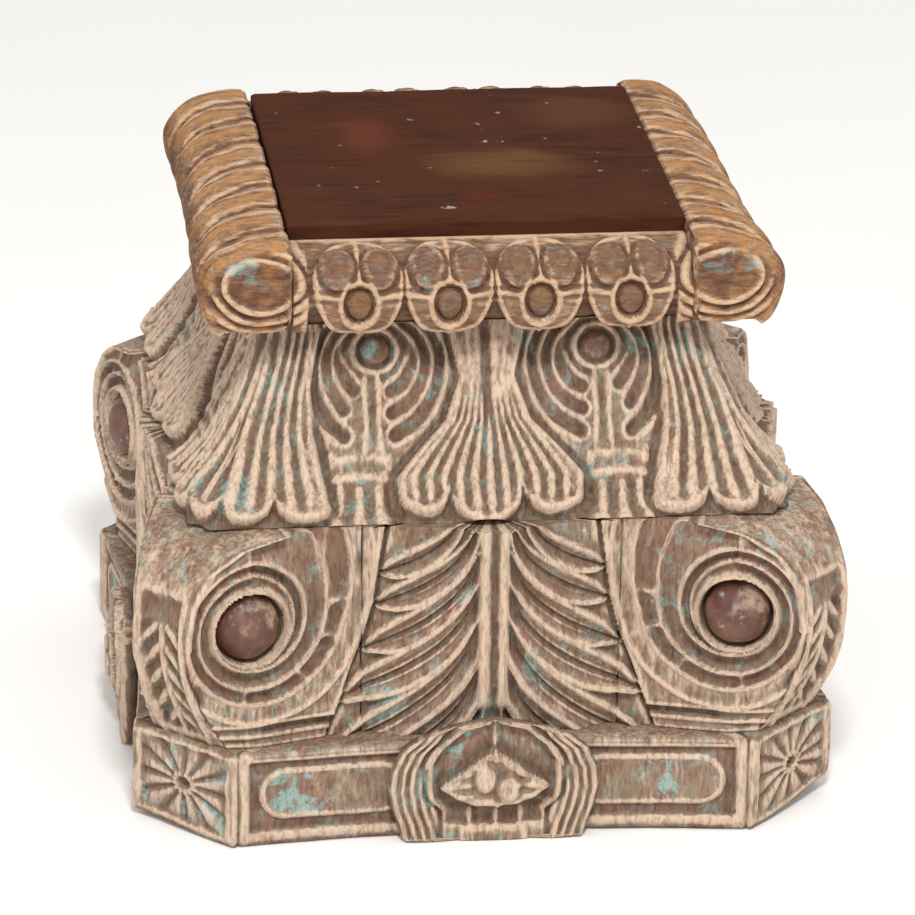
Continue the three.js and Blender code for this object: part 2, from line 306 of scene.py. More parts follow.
def normals_of(grid):
    """The outward direction at each point of a grid that runs all the way round: the cross product of the
    steps along and across, turned if most of it points towards the middle of its row."""
    across = np.roll(grid, -1, axis=1) - np.roll(grid, 1, axis=1)
    normal = np.cross(across, np.gradient(grid, axis=0))
    normal = normal / np.maximum(np.linalg.norm(normal, axis=2, keepdims=True), 1e-9)
    return normal if np.sum(normal * (grid - grid.mean(axis=1, keepdims=True))) > 0 else -normal


def make_object(name, points, faces, marks, material):
    """A mesh object from points in millimetres, its faces turned outwards by the sign of its volume,
    with each worn mark as a value on its points."""
    mesh = bpy.data.meshes.new(name)
    points = np.asarray(points, float)
    mesh.from_pydata((points / MM).tolist(), [], faces)
    mesh.calc_loop_triangles()
    corners = np.empty(len(mesh.loop_triangles) * 3, np.int32)
    mesh.loop_triangles.foreach_get("vertices", corners)
    a, b, c = points[corners.reshape(-1, 3)].transpose(1, 0, 2)
    if np.einsum("ij,ij->", a, np.cross(b, c)) < 0:
        mesh.flip_normals()
    mesh.shade_smooth()
    for mark, values in marks.items():
        attribute = mesh.attributes.new(mark, "FLOAT", "POINT")
        attribute.data.foreach_set("value", np.asarray(values, np.float32))
    mesh.materials.append(material)
    mesh.update()
    obj = bpy.data.objects.new(name, mesh)
    bpy.context.scene.collection.objects.link(obj)
    return obj


def ring_faces(rows, cols):
    """Four-sided faces between neighbouring points of rows that run all the way round."""
    index = np.arange(rows * cols).reshape(rows, cols)
    index = np.hstack([index, index[:, :1]])
    corners = index[:-1, :-1], index[:-1, 1:], index[1:, 1:], index[1:, :-1]
    return np.stack(corners, -1).reshape(-1, 4).tolist()


def ring_piece(name, grid, marks, material):
    """A closed piece from rows of points that run all the way round. Each end is covered by two rings
    drawn in towards its middle, then a fan."""
    def drawn_in(end, share):
        return end + ((end.min(0) + end.max(0)) / 2 - end) * share
    grid = np.concatenate([[drawn_in(grid[0], 0.4), drawn_in(grid[0], 0.03)], grid,
                           [drawn_in(grid[-1], 0.03), drawn_in(grid[-1], 0.4)]])
    rows, cols, _ = grid.shape
    faces = ring_faces(rows, cols)
    low, high = rows * cols, rows * cols + 1
    this, following = np.arange(cols), np.roll(np.arange(cols), -1)
    last = (rows - 1) * cols
    faces += np.stack([following, this, np.full(cols, low)], 1).tolist()
    faces += np.stack([last + this, last + following, np.full(cols, high)], 1).tolist()
    points = np.vstack([grid.reshape(-1, 3), drawn_in(grid[0], 1.0)[:1], drawn_in(grid[-1], 1.0)[:1]])
    for key, value in marks.items():
        value = np.concatenate([value[:1]] * 2 + [value] + [value[-1:]] * 2)
        marks[key] = np.append(value.ravel(), (value[0].mean(), value[-1].mean()))
    return make_object(name, points, faces, marks, material)


def quarter_turned(points, turns):
    """Points turned by quarter turns about the middle."""
    for _ in range(turns % 4):
        points = np.stack([-points[..., 1], points[..., 0], points[..., 2]], -1)
    return points


def carved_paint(name, ground, deep, pale, accent, second, third, grain=(1.0, 1.0, 1.0), accent_share=0.5,
                 pale_share=0.5):
    """Old paint and limewash on carved timber. The ground is mottled with a second colour by the tint
    mark; pale wash stays on crests and, in patches, on whatever the wash mark covers; dirt fills the
    pits; flakes of the accent colour lie in the hollows; and fine fibres darken and lift it all."""
    material, tree, shader = new_material(name)
    shader.inputs["Specular IOR Level"].default_value = 0.22
    mark = {key: node(tree, "Attribute", {"attribute_name": key}).outputs["Fac"]
            for key in ("crest", "pit", "wash", "tint", "fleck")}
    place = node(tree, "TexCoord").outputs["Object"]
    along_grain = stretched(tree, *grain)
    fibre = noise(tree, along_grain, 420.0, 5.0, 0.65)
    grit = noise(tree, along_grain, 260.0, 6.0, 0.75, 0.4)
    streak = noise(tree, along_grain, 520.0, 5.0, 0.7, 0.5)
    patch = noise(tree, place, 46.0, 5.0, 0.6, 0.4)
    cloud = noise(tree, place, 15.0, 3.0, 0.5)
    speck = noise(tree, place, 230.0, 3.0, 0.7)

    mottle = ramp_between(tree, noise(tree, place, 95.0, 5.0, 0.65, 0.5), 0.40, 0.60)
    blotch = ramp_between(tree, noise(tree, place, 62.0, 5.0, 0.6, 0.3), 0.50, 0.66, 0.0, 0.7)
    colour = mixed(tree, mottle, ground, second)
    colour = mixed(tree, blotch, colour, third)
    colour = mixed(tree, times(tree, mark["tint"], 0.8), colour, second)

    loose = plus(tree, noise(tree, place, 52.0, 6.0, 0.66, 0.6), times(tree, mark["fleck"], 0.16))
    flake_edge = 0.63 - 0.06 * accent_share
    flakes = ramp_between(tree, loose, flake_edge, flake_edge + 0.06)
    flakes = times(tree, flakes, ramp_between(tree, speck, 0.34, 0.54, 0.2, 1.0))
    colour = mixed(tree, times(tree, flakes, 0.85), colour, accent)
    haze = noise(tree, place, 130.0, 5.0, 0.7, 0.5)
    haze = ramp_between(tree, haze, 0.52, 0.66, 0.0, 0.25 + 0.5 * accent_share)
    colour = mixed(tree, haze, colour, accent)

    dirt = times(tree, mark["pit"], ramp_between(tree, fibre, 0.25, 0.65, 1.0, 0.45))
    colour = mixed(tree, dirt, colour, deep)
    worn = -1.175 + 0.30 * pale_share - 0.5 * 2.2
    for value, weight in ((mark["wash"], 0.62), (mark["crest"], 0.85), (mark["pit"], -0.75), (patch, 1.1),
                          (fibre, 0.9), (cloud, 0.35), (grit, 2.2)):
        worn = plus(tree, worn, times(tree, value, weight))
    colour = mixed(tree, ramp_between(tree, worn, 0.05, 0.9, 0.0, 0.92), colour, pale)
    fibres_dark = ramp_between(tree, streak, 0.36, 0.56, 0.60, 0.0)
    colour = mixed(tree, fibres_dark, colour, (0.42, 0.35, 0.29, 1), "MULTIPLY")

    tree.links.new(colour, shader.inputs["Base Color"])
    tree.links.new(ramp_between(tree, speck, 0.2, 0.8, 0.62, 0.92), shader.inputs["Roughness"])
    roughened(tree, shader, plus(tree, fibre, times(tree, speck, 0.8)), 0.55, 0.0006)
    return material


TAUPE, EARTH, LIME = rgb(148, 129, 109), rgb(90, 73, 60), rgb(208, 184, 162)
TURQUOISE, RUSSET, SAGE = rgb(146, 180, 174), rgb(136, 103, 86), rgb(140, 130, 108)
limed = carved_paint("limed_carving", TAUPE, EARTH, LIME, TURQUOISE, RUSSET, SAGE, (1.0, 1.0, 0.22))

HALF, _, PLINTH_TOP = millimetres("plinth")[1]
CORNER_CUT = 43.0
SIDE_HOLLOW = 9.0
CAPSULE_MIDDLE, CAPSULE_INNER, CAPSULE_RADIUS = 96.0, 52.0, 13.5
RAYS = 12


def plinth_side(s, z):
    """Height over one side: frame strips stand at 0, the field between them is sunk, and a capsule (the
    distance to a level line, less its radius) rises in each half with a thin raised rim."""
    x = np.abs(s)
    middle = PLINTH_TOP * 0.54
    reach = np.hypot(np.maximum(np.maximum(x - CAPSULE_MIDDLE, CAPSULE_INNER - x), 0), z - middle)
    framed = rise_to(115, 112.5, x) * rise_to(5.5, 8.5, z) * rise_to(PLINTH_TOP - 3.5, PLINTH_TOP - 6, z)
    sunk = -3.2 * framed
    pillow = rise_to(CAPSULE_RADIUS + 0.5, CAPSULE_RADIUS - 1.0, reach)
    height = sunk + pillow * (1.4 + 0.9 * bump(reach, CAPSULE_RADIUS - 2.2, 1.1))
    height -= 1.6 * bump(x, 118.8, 0.9) + 1.2 * bump(z, PLINTH_TOP - 2.6, 0.8) * (x < 112)
    fleck = pillow * (bump(x, 92, 12) * (s < 0) + 0.8 * bump(x, 80, 9) * (s > 0))
    fleck += 0.5 * bump(x, 116, 2) * bump(z, 22, 12)
    rim = bump(reach, CAPSULE_RADIUS - 2.2, 1.6)
    wash = 0.7 * (x > 112) + 0.15 * (z < 6) + 0.35 * rim - 0.25 * pillow
    return height, wash, 0.15 * pillow + 0.75 * framed * (1 - pillow), fleck


def plinth_corner(c, z):
    """Height over one cut corner: rays turn with the angle about the middle, sunk between the petals
    and inside a square frame, with a dimple at the centre."""
    dx, dz = c, z - PLINTH_TOP * 0.52
    angle, radius = np.arctan2(dz * 1.25, dx), np.hypot(dx, dz * 1.25)
    frame_in = rise_to(27.0, 24.5, np.abs(c)) * rise_to(3.0, 5.5, z)
    frame_in = frame_in * rise_to(PLINTH_TOP - 2.0, PLINTH_TOP - 4.5, z)
    petal = np.abs(np.sin(angle * RAYS / 2)) ** 0.7
    height = -2.6 * frame_in + frame_in * rise_to(3.5, 7, radius) * (2.4 * petal - 0.6)
    height += frame_in * (1.9 * bump(radius, 5.2, 1.6) - 1.6 * rise_to(3.5, 1.5, radius))
    wash = 0.15 * (1 - frame_in)
    return height, wash, 0.2 * frame_in, 0.3 * frame_in


SIDE_COLS, CORNER_COLS, PLINTH_ROWS = 236, 60, 54
face_end = HALF - CORNER_CUT
corner_half = CORNER_CUT / math.sqrt(2)
z_rows = np.linspace(0.0, PLINTH_TOP, PLINTH_ROWS)[:, None]
side_s, side_z = np.broadcast_arrays(np.linspace(-face_end, face_end, SIDE_COLS, endpoint=False)[None, :], z_rows)
cut_s, cut_z = np.broadcast_arrays(np.linspace(-corner_half, corner_half, CORNER_COLS, endpoint=False)[None, :],
                                   z_rows)
bow = HALF - SIDE_HOLLOW * (1 - (side_s / face_end) ** 2)
along_cut = (cut_s + corner_half) / math.sqrt(2)
side_flat = np.stack([side_s, -bow, side_z], -1)
corner_flat = np.stack([face_end + along_cut, along_cut - HALF, cut_z], -1)
faces_round = []
for turns in range(4):
    for flat, s, z, relief, seed in ((side_flat, side_s, side_z, plinth_side, 10 + turns),
                                     (corner_flat, cut_s, cut_z, plinth_corner, 20 + turns)):
        height, *rest = relief(s, z)
        faces_round.append((quarter_turned(flat, turns), height + hand(s, z, seed, 0.3), *rest))
base, height, wash, tint, fleck = (np.concatenate(part, axis=1) for part in zip(*faces_round))
around = np.arctan2(base[..., 1], base[..., 0])
level_share = base[..., 2] / PLINTH_TOP
edge_round = 1.6 * (bump(base[..., 2], 0, 2.2) + 0.8 * bump(base[..., 2], PLINTH_TOP, 1.6))
direction = normals_of(base)
direction[..., 2] = 0
carved = base + direction * (height - edge_round)[..., None]
worn_foot = 8.0 * bump(around, math.radians(-36), 0.16) + 3.0 * bump(around, math.radians(-142), 0.12)
worn_foot = worn_foot + 0.8 * (1 + wander(around * 60, np.zeros(around.shape), 9, 5))
carved[..., 2] += worn_foot * (1 - level_share) ** 2
crest, pit = worn_marks(height - edge_round, 1.0, around=True)
marks = {"crest": crest, "pit": pit, "wash": wash, "tint": tint, "fleck": fleck}
plinth = ring_piece("carved_plinth", carved, marks, limed)
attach(plinth, "root")
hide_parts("plinth")

# ---- Fleurons ---------------------------------------------------------------------------
# A small carved plate in the middle of each plinth side, glued on: a pointed petal over a
# ribbed leaf with a drop bud, three toes under it and a sheaf of stems at each side.
def fleuron_side(s, z):
    """Height of the plate: the petal and the leaf are closed outlines given as the half-width at each
    level, the dark gap between them is cut deep, and the stems are ridges that follow the plate's edge."""
    x = np.abs(s)
    petal = np.interp(z, (15, 22, 30, 40, 48, 57, 60), (23, 30, 31, 30.6, 25.6, 15, 0))
    leaf = np.interp(z, (18, 20, 27, 30, 35, 41, 47), (22, 24, 27, 24, 16, 9, 0))
    in_petal = rise_to(petal + 0.6, petal - 1.2, x) * rise_to(14, 19, z)
    droop = np.interp(x, (0, 9, 16, 22, 28), (17, 18, 21, 24.5, 29))
    in_leaf = rise_to(leaf + 0.5, leaf - 1.5, x) * rise_to(droop - 0.8, droop + 1.4, z)
    height = -1.0 + 3.4 * in_petal + 2.0 * bump(x - petal, -0.4, 1.5) * rise_to(12, 17, z)
    height -= 4.2 * in_petal * (1 - in_leaf) * rise_to(0.2, 3.5, petal - x)
    height += in_leaf * (2.2 + 1.1 * bump(x - leaf, -1.0, 1.2))
    ribs = np.cos((z + 0.12 * x - 20) * 2 * math.pi / 5.6)
    height += 0.8 * in_leaf * ribs * rise_to(9, 12, x) * rise_to(2, 4, leaf - x)
    bud = np.minimum(np.hypot((s + 4.5) / 5.0, (z - 33) / 7.0), np.hypot((s - 6) / 5.5, (z - 27.5) / 6.5))
    height += 2.2 * rise_to(1.2, 0.6, bud) - 0.7 * bump(bud, 1.25, 0.15)
    height += 1.9 * bump(s, 0, 1.3) * rise_to(40, 43, z) * in_petal
    under = rise_to(20, 17.5, z) * rise_to(7, 9.5, z) * rise_to(24, 20, x)
    toes = bump(s, -11.5, 1.5) + bump(s, 1, 1.5) + bump(s, 12.5, 1.6)
    height += under * (2.8 * np.minimum(toes, 1) - 2.6)
    height += 1.6 * rise_to(17, 15, x) * rise_to(9, 7, z)
    edge = np.interp(z, (0, 8, 15, 25, 35, 45, 50, 60), (43, 45, 47.5, 49.5, 48.5, 44, 38, 30))
    outside = rise_to(petal - 0.5, petal + 1.5, x)
    stems = np.cos((edge - x - 2.2) * 2 * math.pi / 4.3)
    height += outside * (1.4 + 1.1 * stems) * rise_to(24, 27, x)
    height -= 2.0 * bump(x - petal, 2.4, 1.2)
    wash = 0.15 * outside - 0.3 * in_leaf + 0.2 * rise_to(1, 0.6, bud) - 0.3 * in_petal * (1 - in_leaf)
    tint = 0.7 * rise_to(17, 15, x) * rise_to(9, 7, z) + 0.5 * in_petal * (1 - in_leaf)
    return height, wash, tint


def with_back(value, count):
    """A mark over a carved face, its last column repeated over the plain points behind."""
    return np.concatenate([value, np.repeat(value[:, -1:], count, axis=1)], axis=1)


FLEURON_COLS, FLEURON_BACK_COLS, FLEURON_ROWS = 128, 24, 76
(_, FLEURON_FACE, _), (_, FLEURON_BACK, FLEURON_TOP) = millimetres("fleuron_front")
z = np.linspace(0.0, FLEURON_TOP, FLEURON_ROWS)[:, None]
half = np.interp(z, (0, 8, 15, 25, 35, 45, 50, 54, 57.5, 60), (43, 45, 47.5, 49.5, 48.5, 44, 38, 29, 16, 2))
share = np.linspace(-1, 1, FLEURON_COLS)[None, :]
s = half * share
height, wash, tint = fleuron_side(s, z)
rim = 1.4 * rise_to(0.94, 1.0, np.abs(share)) ** 2 + 1.2 * bump(z, FLEURON_TOP, 1.6)
back_s = half * np.linspace(0.98, -0.98, FLEURON_BACK_COLS)[None, :]
for turns, where in enumerate(("front", "right", "back", "left")):
    h = height - rim + hand(s, z, 30 + turns, 0.3)
    face = np.stack([s, FLEURON_FACE + 0.4 - h, np.broadcast_to(z, s.shape)], -1)
    back = np.stack([back_s, np.full(back_s.shape, FLEURON_BACK + 0.2), np.broadcast_to(z, back_s.shape)], -1)
    grid = np.concatenate([face, back], axis=1)
    grid[..., 2] += (2.5 * (np.abs(grid[..., 0]) / 50) ** 2) * (1 - grid[..., 2] / 60) ** 2
    crest, pit = worn_marks(h, 0.78)
    marks = {"crest": crest, "pit": pit, "wash": wash, "tint": tint}
    marks = {key: with_back(value, FLEURON_BACK_COLS) for key, value in marks.items()}
    fleuron = ring_piece("carved_fleuron_" + where, quarter_turned(grid, turns), marks, limed)
    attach(fleuron, "root")
    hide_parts("fleuron_" + where)

# ---- Palmettes -------------------------------------------------------------------------
# A block of hardwood in the middle of each side, glued to the core between two volutes. Its
# face is a feathered leaf: a grooved midrib with long hollow leaflets that sweep down.
TIER_FOOT, TIER_TOP = PLINTH_TOP, millimetres("palmette_front")[1][2]
LEAFLET_SPANS = (((15, 156), (53, 127), 5.2), ((9, 148), (55, 111), 6.4), ((6, 138), (60, 89), 7.2),
                 ((5, 124), (71, 65), 8.2), ((5, 107), (77, 37), 7.8), ((5, 84), (58, 30), 7.0),
                 ((5, 63), (34, 30), 4.6))
LEAFLET_SWELL = np.array((0.25, 0.5, 0.72, 0.9, 1.0, 0.98, 0.75, 0.15))


def bent(start, middle, end, t):
    """Points at t along a curve that leaves its start towards the middle point and comes to its end from it."""
    start, middle, end, t = np.array(start), np.array(middle), np.array(end), np.asarray(t)[:, None]
    return (1 - t) ** 2 * start + 2 * t * (1 - t) * middle + t ** 2 * end


def leaflet(root, tip, widest):
    """A leaflet's middle line, steep at the midrib and flatter towards its tip, with its widths."""
    elbow = root[0] + 0.13 * (tip[0] - root[0]), root[1] - 0.64 * (root[1] - tip[1])
    return bent(root, elbow, tip, (0, 0.12, 0.28, 0.5, 0.75, 1)), widest * LEAFLET_SWELL


LEAFLETS = [leaflet(*span) for span in LEAFLET_SPANS]


def leaf_edge(z):
    """How far out the feathered leaf reaches at each level, where the volute's band begins."""
    return np.interp(z, (47, 60, 71, 81, 93, 112, 136, 150), (77, 72, 68.5, 65, 60, 55, 52, 50))


def palmette_side(s, z):
    """Height of the leaf: hollow leaflets with thin raised edges, each with a scored centre line,
    running off a midrib of two ridges with a groove between."""
    x = np.abs(s)
    share, along = blades(x, z, LEAFLETS)
    veins = 0.9 * bump(share, 0.26, 0.11) + 0.6 * bump(share, 0.60, 0.10)
    height = fluted(np.minimum(share, 1.5), 2.8, 1.5) + veins * rise_to(0.1, 0.3, along)
    height -= 1.3 * bump(share, 0.0, 0.13) * rise_to(0.05, 0.2, along)
    height -= 2.5 * rise_to(1.15, 1.5, share)
    rib = rise_to(9.0, 5.5, x) * rise_to(56, 66, z)
    ribbed = 2.2 + 1.7 * (bump(s, 4.5, 1.5) + bump(s, -5.0, 1.7)) - 2.2 * bump(s, 0.2, 1.8)
    height = height * (1 - rib) + ribbed * rib
    height -= 3.2 * bump(x, leaf_edge(z) - 0.6, 1.1)
    wash = 0.35 * rib + 0.12 * rise_to(100, 60, z) - 0.1 * (1 - rib)
    return height, wash, (0.25 + 0.4 * (s > 0)) * (1 - rib) * rise_to(1.0, 0.6, share)


EYE_OUT, EYE_LEVEL, EYE_SIZE = 111.9, 105.5, 16.0
SPIRAL = (-90, -60, -45, -20, 0, 45, 90, 135, 180, 225, 270, 315, 360, 405, 450, 540, 1080)
OUTER_LINE = (120, 92, 77, 62, 54, 49, 46, 43, 40, 46, 60, 60, 60, 60, 60, 60, 60)
MAIN_LINE = (100, 76, 63, 51, 44.5, 39, 36.5, 33.5, 31.5, 32, 33, 30, 26, 22.5, 19.5, 18.8, 18.8)
INNER_LINE = (62, 54, 47, 39, 36, 31.5, 29.5, 27.5, 26, 26, 27, 24, 21, 19, 18.5, 18, 18)


def scroll_side(s, z):
    """Height of a volute's face. The three edge lines of its band are spirals, each given as the radius
    against the total angle turned; between lines the wood is hollowed, at each line it stands up."""
    x = np.abs(s)
    inward, down = (EYE_OUT - x) / 0.96, EYE_LEVEL - z
    radius = np.hypot(inward, down)
    phi = np.degrees(np.arctan2(down, inward))
    phi = np.where(phi < -90, phi + 360, phi)

    def line(table, turn):
        return np.interp(phi + 360 * turn, SPIRAL, table)

    def below(edge, soft=1.2):
        return rise_to(edge + soft * 0.5, edge - soft * 0.5, radius)

    def hollow(low, high, depth):
        place = np.clip((radius - low) / np.maximum(high - low, 0.5), 0, 1)
        return -depth * below(high) * (1 - below(low)) * np.sin(math.pi * place) ** 0.6

    outer, main, inner = line(OUTER_LINE, 0), line(MAIN_LINE, 0), line(INNER_LINE, 0)
    main_2, inner_2, main_3 = line(MAIN_LINE, 1), line(INNER_LINE, 1), line(MAIN_LINE, 2)
    over = rise_to(205, 262, phi)
    height = hollow(main, outer, 0.8 + 2.2 * over) + hollow(inner, main, 2.6) + hollow(main_2, inner, 4.2)
    height = height + hollow(np.minimum(inner_2, main_2 - 1), main_2, 3.6) + hollow(18.8, inner_2, 3.0)
    height -= 1.1 * below(main) + 1.0 * below(main_2)
    ridges = bump(radius, main, 1.15) * (1 - 0.5 * over) + 0.9 * bump(radius, outer, 1.1) * (1 - over)
    ridges = ridges + 0.7 * bump(radius, inner, 0.9) + bump(radius, main_2, 1.25)
    ridges = ridges + 0.5 * bump(radius, inner_2, 0.8) + 1.4 * bump(radius, main_3, 1.5)
    ticks = sum(bump(phi, at, 2.6) for at in (-12, 12, 46, 96)) * below(main) * (1 - below(inner))
    height = height + 1.8 * np.minimum(ridges, 1.3) + 1.8 * ticks
    height -= 9.0 * below(17.2, 3.4)
    foot = rise_to(62, 58, z) * (1 - below(main + 3))
    lines = bump(z, 58.5, 1.1) + 0.8 * bump(z, 52.5, 1.0) + 0.7 * bump(z, 48.0, 1.2)
    cut = rise_to(110, 102, x) * foot
    height = height + foot * (2.0 * lines - 1.0) - 2.6 * cut * bump(z, 55.5, 2.2)
    crescent = bump(np.hypot((x - 139) / 5.0, (z - 73) / 9.5), 0, 0.8)
    height -= 3.4 * crescent
    channel = below(main) * (1 - below(inner))
    dark = below(inner) * (1 - below(19.5)) * (1 - 0.4 * ticks)
    strip = (1 - below(main)) * below(outer) * (1 - over)
    beyond = (1 - below(np.minimum(outer, 48))) * rise_to(110, 122, x)
    wash = 0.55 * strip + 0.6 * bump(radius, 20.5, 1.6) - 0.15 * channel - 0.2 * dark + 0.42 * beyond
    rim = np.interp(z, (104, 123, 137, 146, 150), (145, 142, 133, 118, 97))
    edging = rise_to(7, 2.5, rim - x) * (z > 100)
    # Less pale wash over the crescent hollow and over the recessed foot inboard of the leaf: this is painted shade in
    # the hollows under the scroll, on top of the carved depth.
    wash = (wash - 0.6 * crescent - 0.4 * cut - 0.25 * over * below(60)) * (1 - edging) + 0.3 * edging
    height = height * (1 - edging) + 0.9 * edging * bump(rim - x, 2.5, 2.5)
    tint = 0.95 * channel + 0.35 * dark + 0.5 * over
    return height, wash, tint


def tier_side(s, z):
    """The whole side between plinth and bell: the feathered leaf laid over the inner edge of both scrolls."""
    leaf = palmette_side(s, z)
    scroll = scroll_side(s, z)
    share = rise_to(0.5, -0.5, np.abs(s) - leaf_edge(z))
    height, wash, tint = (a * share + b * (1 - share) for a, b in zip(leaf, scroll))
    return height + 1.2 * share, wash, tint


PALMETTE_COLS, TIER_ROWS = 176, 136
BLOCK_HALF, BLOCK_BACK = 60.0, 100.4
z = np.linspace(TIER_FOOT, TIER_TOP, TIER_ROWS)[:, None]
s = np.linspace(-BLOCK_HALF + 0.05, BLOCK_HALF - 0.05, PALMETTE_COLS)[None, :]
s, z = np.broadcast_arrays(s, z)
height, wash, tint = tier_side(s, z)
crown = 150.0 - 9.0 * (np.abs(s) / BLOCK_HALF) ** 1.3
behind = [(BLOCK_HALF - 0.05, -130), (BLOCK_HALF - 0.05, -BLOCK_BACK), (20, -BLOCK_BACK), (-20, -BLOCK_BACK),
          (-BLOCK_HALF + 0.05, -BLOCK_BACK), (-BLOCK_HALF + 0.05, -130)]
behind = np.array([[(x, y, level) for x, y in behind] for level in z[:, 0]])
flaked = ((-50, 66), (-8, 58), (25, 74), (-66, 104), (48, 56))
fleck = 0.7 * sum(bump(np.hypot(s - a, z - b), 0, 12) for a, b in flaked)
for turns, where in enumerate(("front", "right", "back", "left")):
    h = height + hand(s, z, 40 + turns, 0.35)
    grid = np.concatenate([np.stack([s, -crown - h, z], -1), behind], axis=1)
    crest, pit = worn_marks(h, 0.72)
    marks = {"crest": crest, "pit": pit, "wash": wash, "tint": tint, "fleck": fleck}
    marks = {key: with_back(value, behind.shape[1]) for key, value in marks.items()}
    palmette = ring_piece("carved_palmette_" + where, quarter_turned(grid, turns), marks, limed)
    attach(palmette, "root")
    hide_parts("palmette_" + where)

# ---- Volutes ---------------------------------------------------------------------------
# A block on each corner, glued to the core: both faces are cut as a scroll round an eye, the
# narrow nose between them is a strip of herringbone leaf, and the top rolls over smooth.
FACE_START = np.array((BLOCK_HALF + 0.3, -141.1))
FACE_ALONG = np.array((0.9588, -0.2840))
NOSE_REACH, NOSE_LEVEL, NOSE_HALF = 219.9, 104.0, 15.0


def nose_curve(rows):
    """Reach along the diagonal and height up the nose: two three-point curves, foot to bulge to roll."""
    low = bent((201.0, TIER_FOOT), (219.0, 76.0), (NOSE_REACH, NOSE_LEVEL), np.linspace(0, 1, rows // 2 + 1))
    high = bent((NOSE_REACH, NOSE_LEVEL), (219.5, 147.0), (176.0, TIER_TOP), np.linspace(0, 1, rows - rows // 2))
    return np.vstack([low[:-1], high])


def nose_side(w, z):
    """Height of the nose strip: a midrib and leaflets slanting down from it, sunk between two rims; above
    the bulge a smooth, darker hollow, then the bare roll."""
    side = np.abs(w)
    panel = rise_to(NOSE_HALF - 1.5, NOSE_HALF - 4, side) * rise_to(50, 54, z) * rise_to(126, 120, z)
    leaf = np.cos((z + side * 1.1) * 2 * math.pi / 12.5) * rise_to(1.2, 3.0, side) * rise_to(113, 108, z)
    height = panel * (-2.6 + 1.3 * leaf + 2.2 * bump(w, 0, 1.3) * rise_to(113, 108, z))
    height = height + 1.2 * bump(side, NOSE_HALF - 1.5, 1.6) * rise_to(128, 118, z)
    wash = 0.08 * rise_to(128, 138, z) + 0.3 * (1 - panel) * rise_to(136, 128, z) + 0.05
    tint = 0.6 * panel * rise_to(110, 116, z)
    return height, wash - 0.8 * panel * rise_to(110, 115, z), tint


VOLUTE_ROWS, SCROLL_COLS, NOSE_COLS = 150, 128, 36
profile = nose_curve(VOLUTE_ROWS)
reach, level = profile[:, :1], profile[:, 1:]
length = (reach - FACE_START @ (1, -1) / math.sqrt(2)) / (FACE_ALONG @ (1, -1) / math.sqrt(2))
share = np.linspace(0, 1, SCROLL_COLS)[None, :]
face_x = FACE_START[0] + FACE_ALONG[0] * length * share
face_y = FACE_START[1] + FACE_ALONG[1] * length * share
level_grid = np.broadcast_to(level, face_x.shape)
tuck = 4.0 * rise_to(90, TIER_FOOT, level) * rise_to(0.75, 1.0, share)
face = np.stack([face_x, face_y + tuck, level_grid], -1)
mirrored = np.stack([-face[..., 1], -face[..., 0], face[..., 2]], -1)[:, ::-1]
t = np.linspace(0, 1, NOSE_COLS + 2)[None, 1:-1, None]
nose = face[:, -1:] * (1 - t) + mirrored[:, :1] * t
GAP = BLOCK_HALF + 0.3
inside = [(BLOCK_BACK + 20, -GAP), (BLOCK_BACK, -GAP), (BLOCK_BACK, -80), (BLOCK_BACK, -BLOCK_BACK),
          (80, -BLOCK_BACK), (GAP, -BLOCK_BACK), (GAP, -120)]
hidden = np.array([[(x, y, h) for x, y in inside] for h in level[:, 0]])
base = np.concatenate([face, nose, mirrored, hidden], axis=1)
direction = normals_of(base)
last_face = 2 * SCROLL_COLS + NOSE_COLS
direction[:, last_face:] = 0
direction[:, 0] = direction[:, 2]
direction[:, last_face - 1] = direction[:, last_face - 3]
across = (nose[..., 0] + nose[..., 1]) / math.sqrt(2)
nose_relief = nose_side(across, nose[..., 2])
front_relief = tier_side(face[..., 0], face[..., 2])
rim = 0.9 * rise_to(0.965, 1.0, share) ** 2
bare = np.zeros((VOLUTE_ROWS, len(inside)))
height, wash, tint = (np.concatenate([scroll, strip, scroll[:, ::-1], bare], axis=1)
                      for scroll, strip in zip(front_relief, nose_relief))
height[:, :SCROLL_COLS] -= rim
height[:, SCROLL_COLS + NOSE_COLS:last_face] -= rim[:, ::-1]
roll = rise_to(132, 146, base[..., 2]) * (np.arange(base.shape[1]) < last_face)
for turns, where in enumerate(("front_right", "back_right", "back_left", "front_left")):
    h = height + hand(base[..., 0] + 0.6 * base[..., 1], base[..., 2] + 0.4 * base[..., 1], 50 + turns, 0.4)
    grid = base + direction * h[..., None]
    crest, pit = worn_marks(h, 0.75)
    marks = {"crest": crest, "pit": pit * (1 - 0.5 * roll), "wash": wash, "tint": tint}
    volute = ring_piece("carved_volute_" + where, quarter_turned(grid, turns), marks, limed)
    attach(volute, "root")
    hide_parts("volute_" + where)

# ---- Volute eyes -----------------------------------------------------------------------
# Eight turned knobs with a domed head, pegged into the middle of each scroll. Dark red-brown
# paint, rubbed through in patches.
def knob_paint():
    """Dark red-brown paint with pale rubbed patches, grey specks and a faint wax sheen."""
    material, tree, shader = new_material("eye_paint")
    place = node(tree, "TexCoord").outputs["Object"]
    patch = noise(tree, place, 70.0, 5.0, 0.6, 0.5)
    speck = noise(tree, place, 260.0, 4.0, 0.65)
    rubbed = ramp_between(tree, noise(tree, place, 40.0, 6.0, 0.65), 0.56, 0.66, 0.0, 0.75)
    colour = mixed(tree, ramp_between(tree, patch, 0.35, 0.65), rgb(82, 46, 36), rgb(112, 76, 60))
    colour = mixed(tree, rubbed, colour, rgb(168, 146, 126))
    colour = mixed(tree, ramp_between(tree, speck, 0.6, 0.72, 0.0, 0.7), colour, rgb(150, 160, 156))
    tree.links.new(colour, shader.inputs["Base Color"])
    tree.links.new(ramp_between(tree, patch, 0.3, 0.7, 0.34, 0.6), shader.inputs["Roughness"])
    roughened(tree, shader, speck, 0.35, 0.0005)
    return material


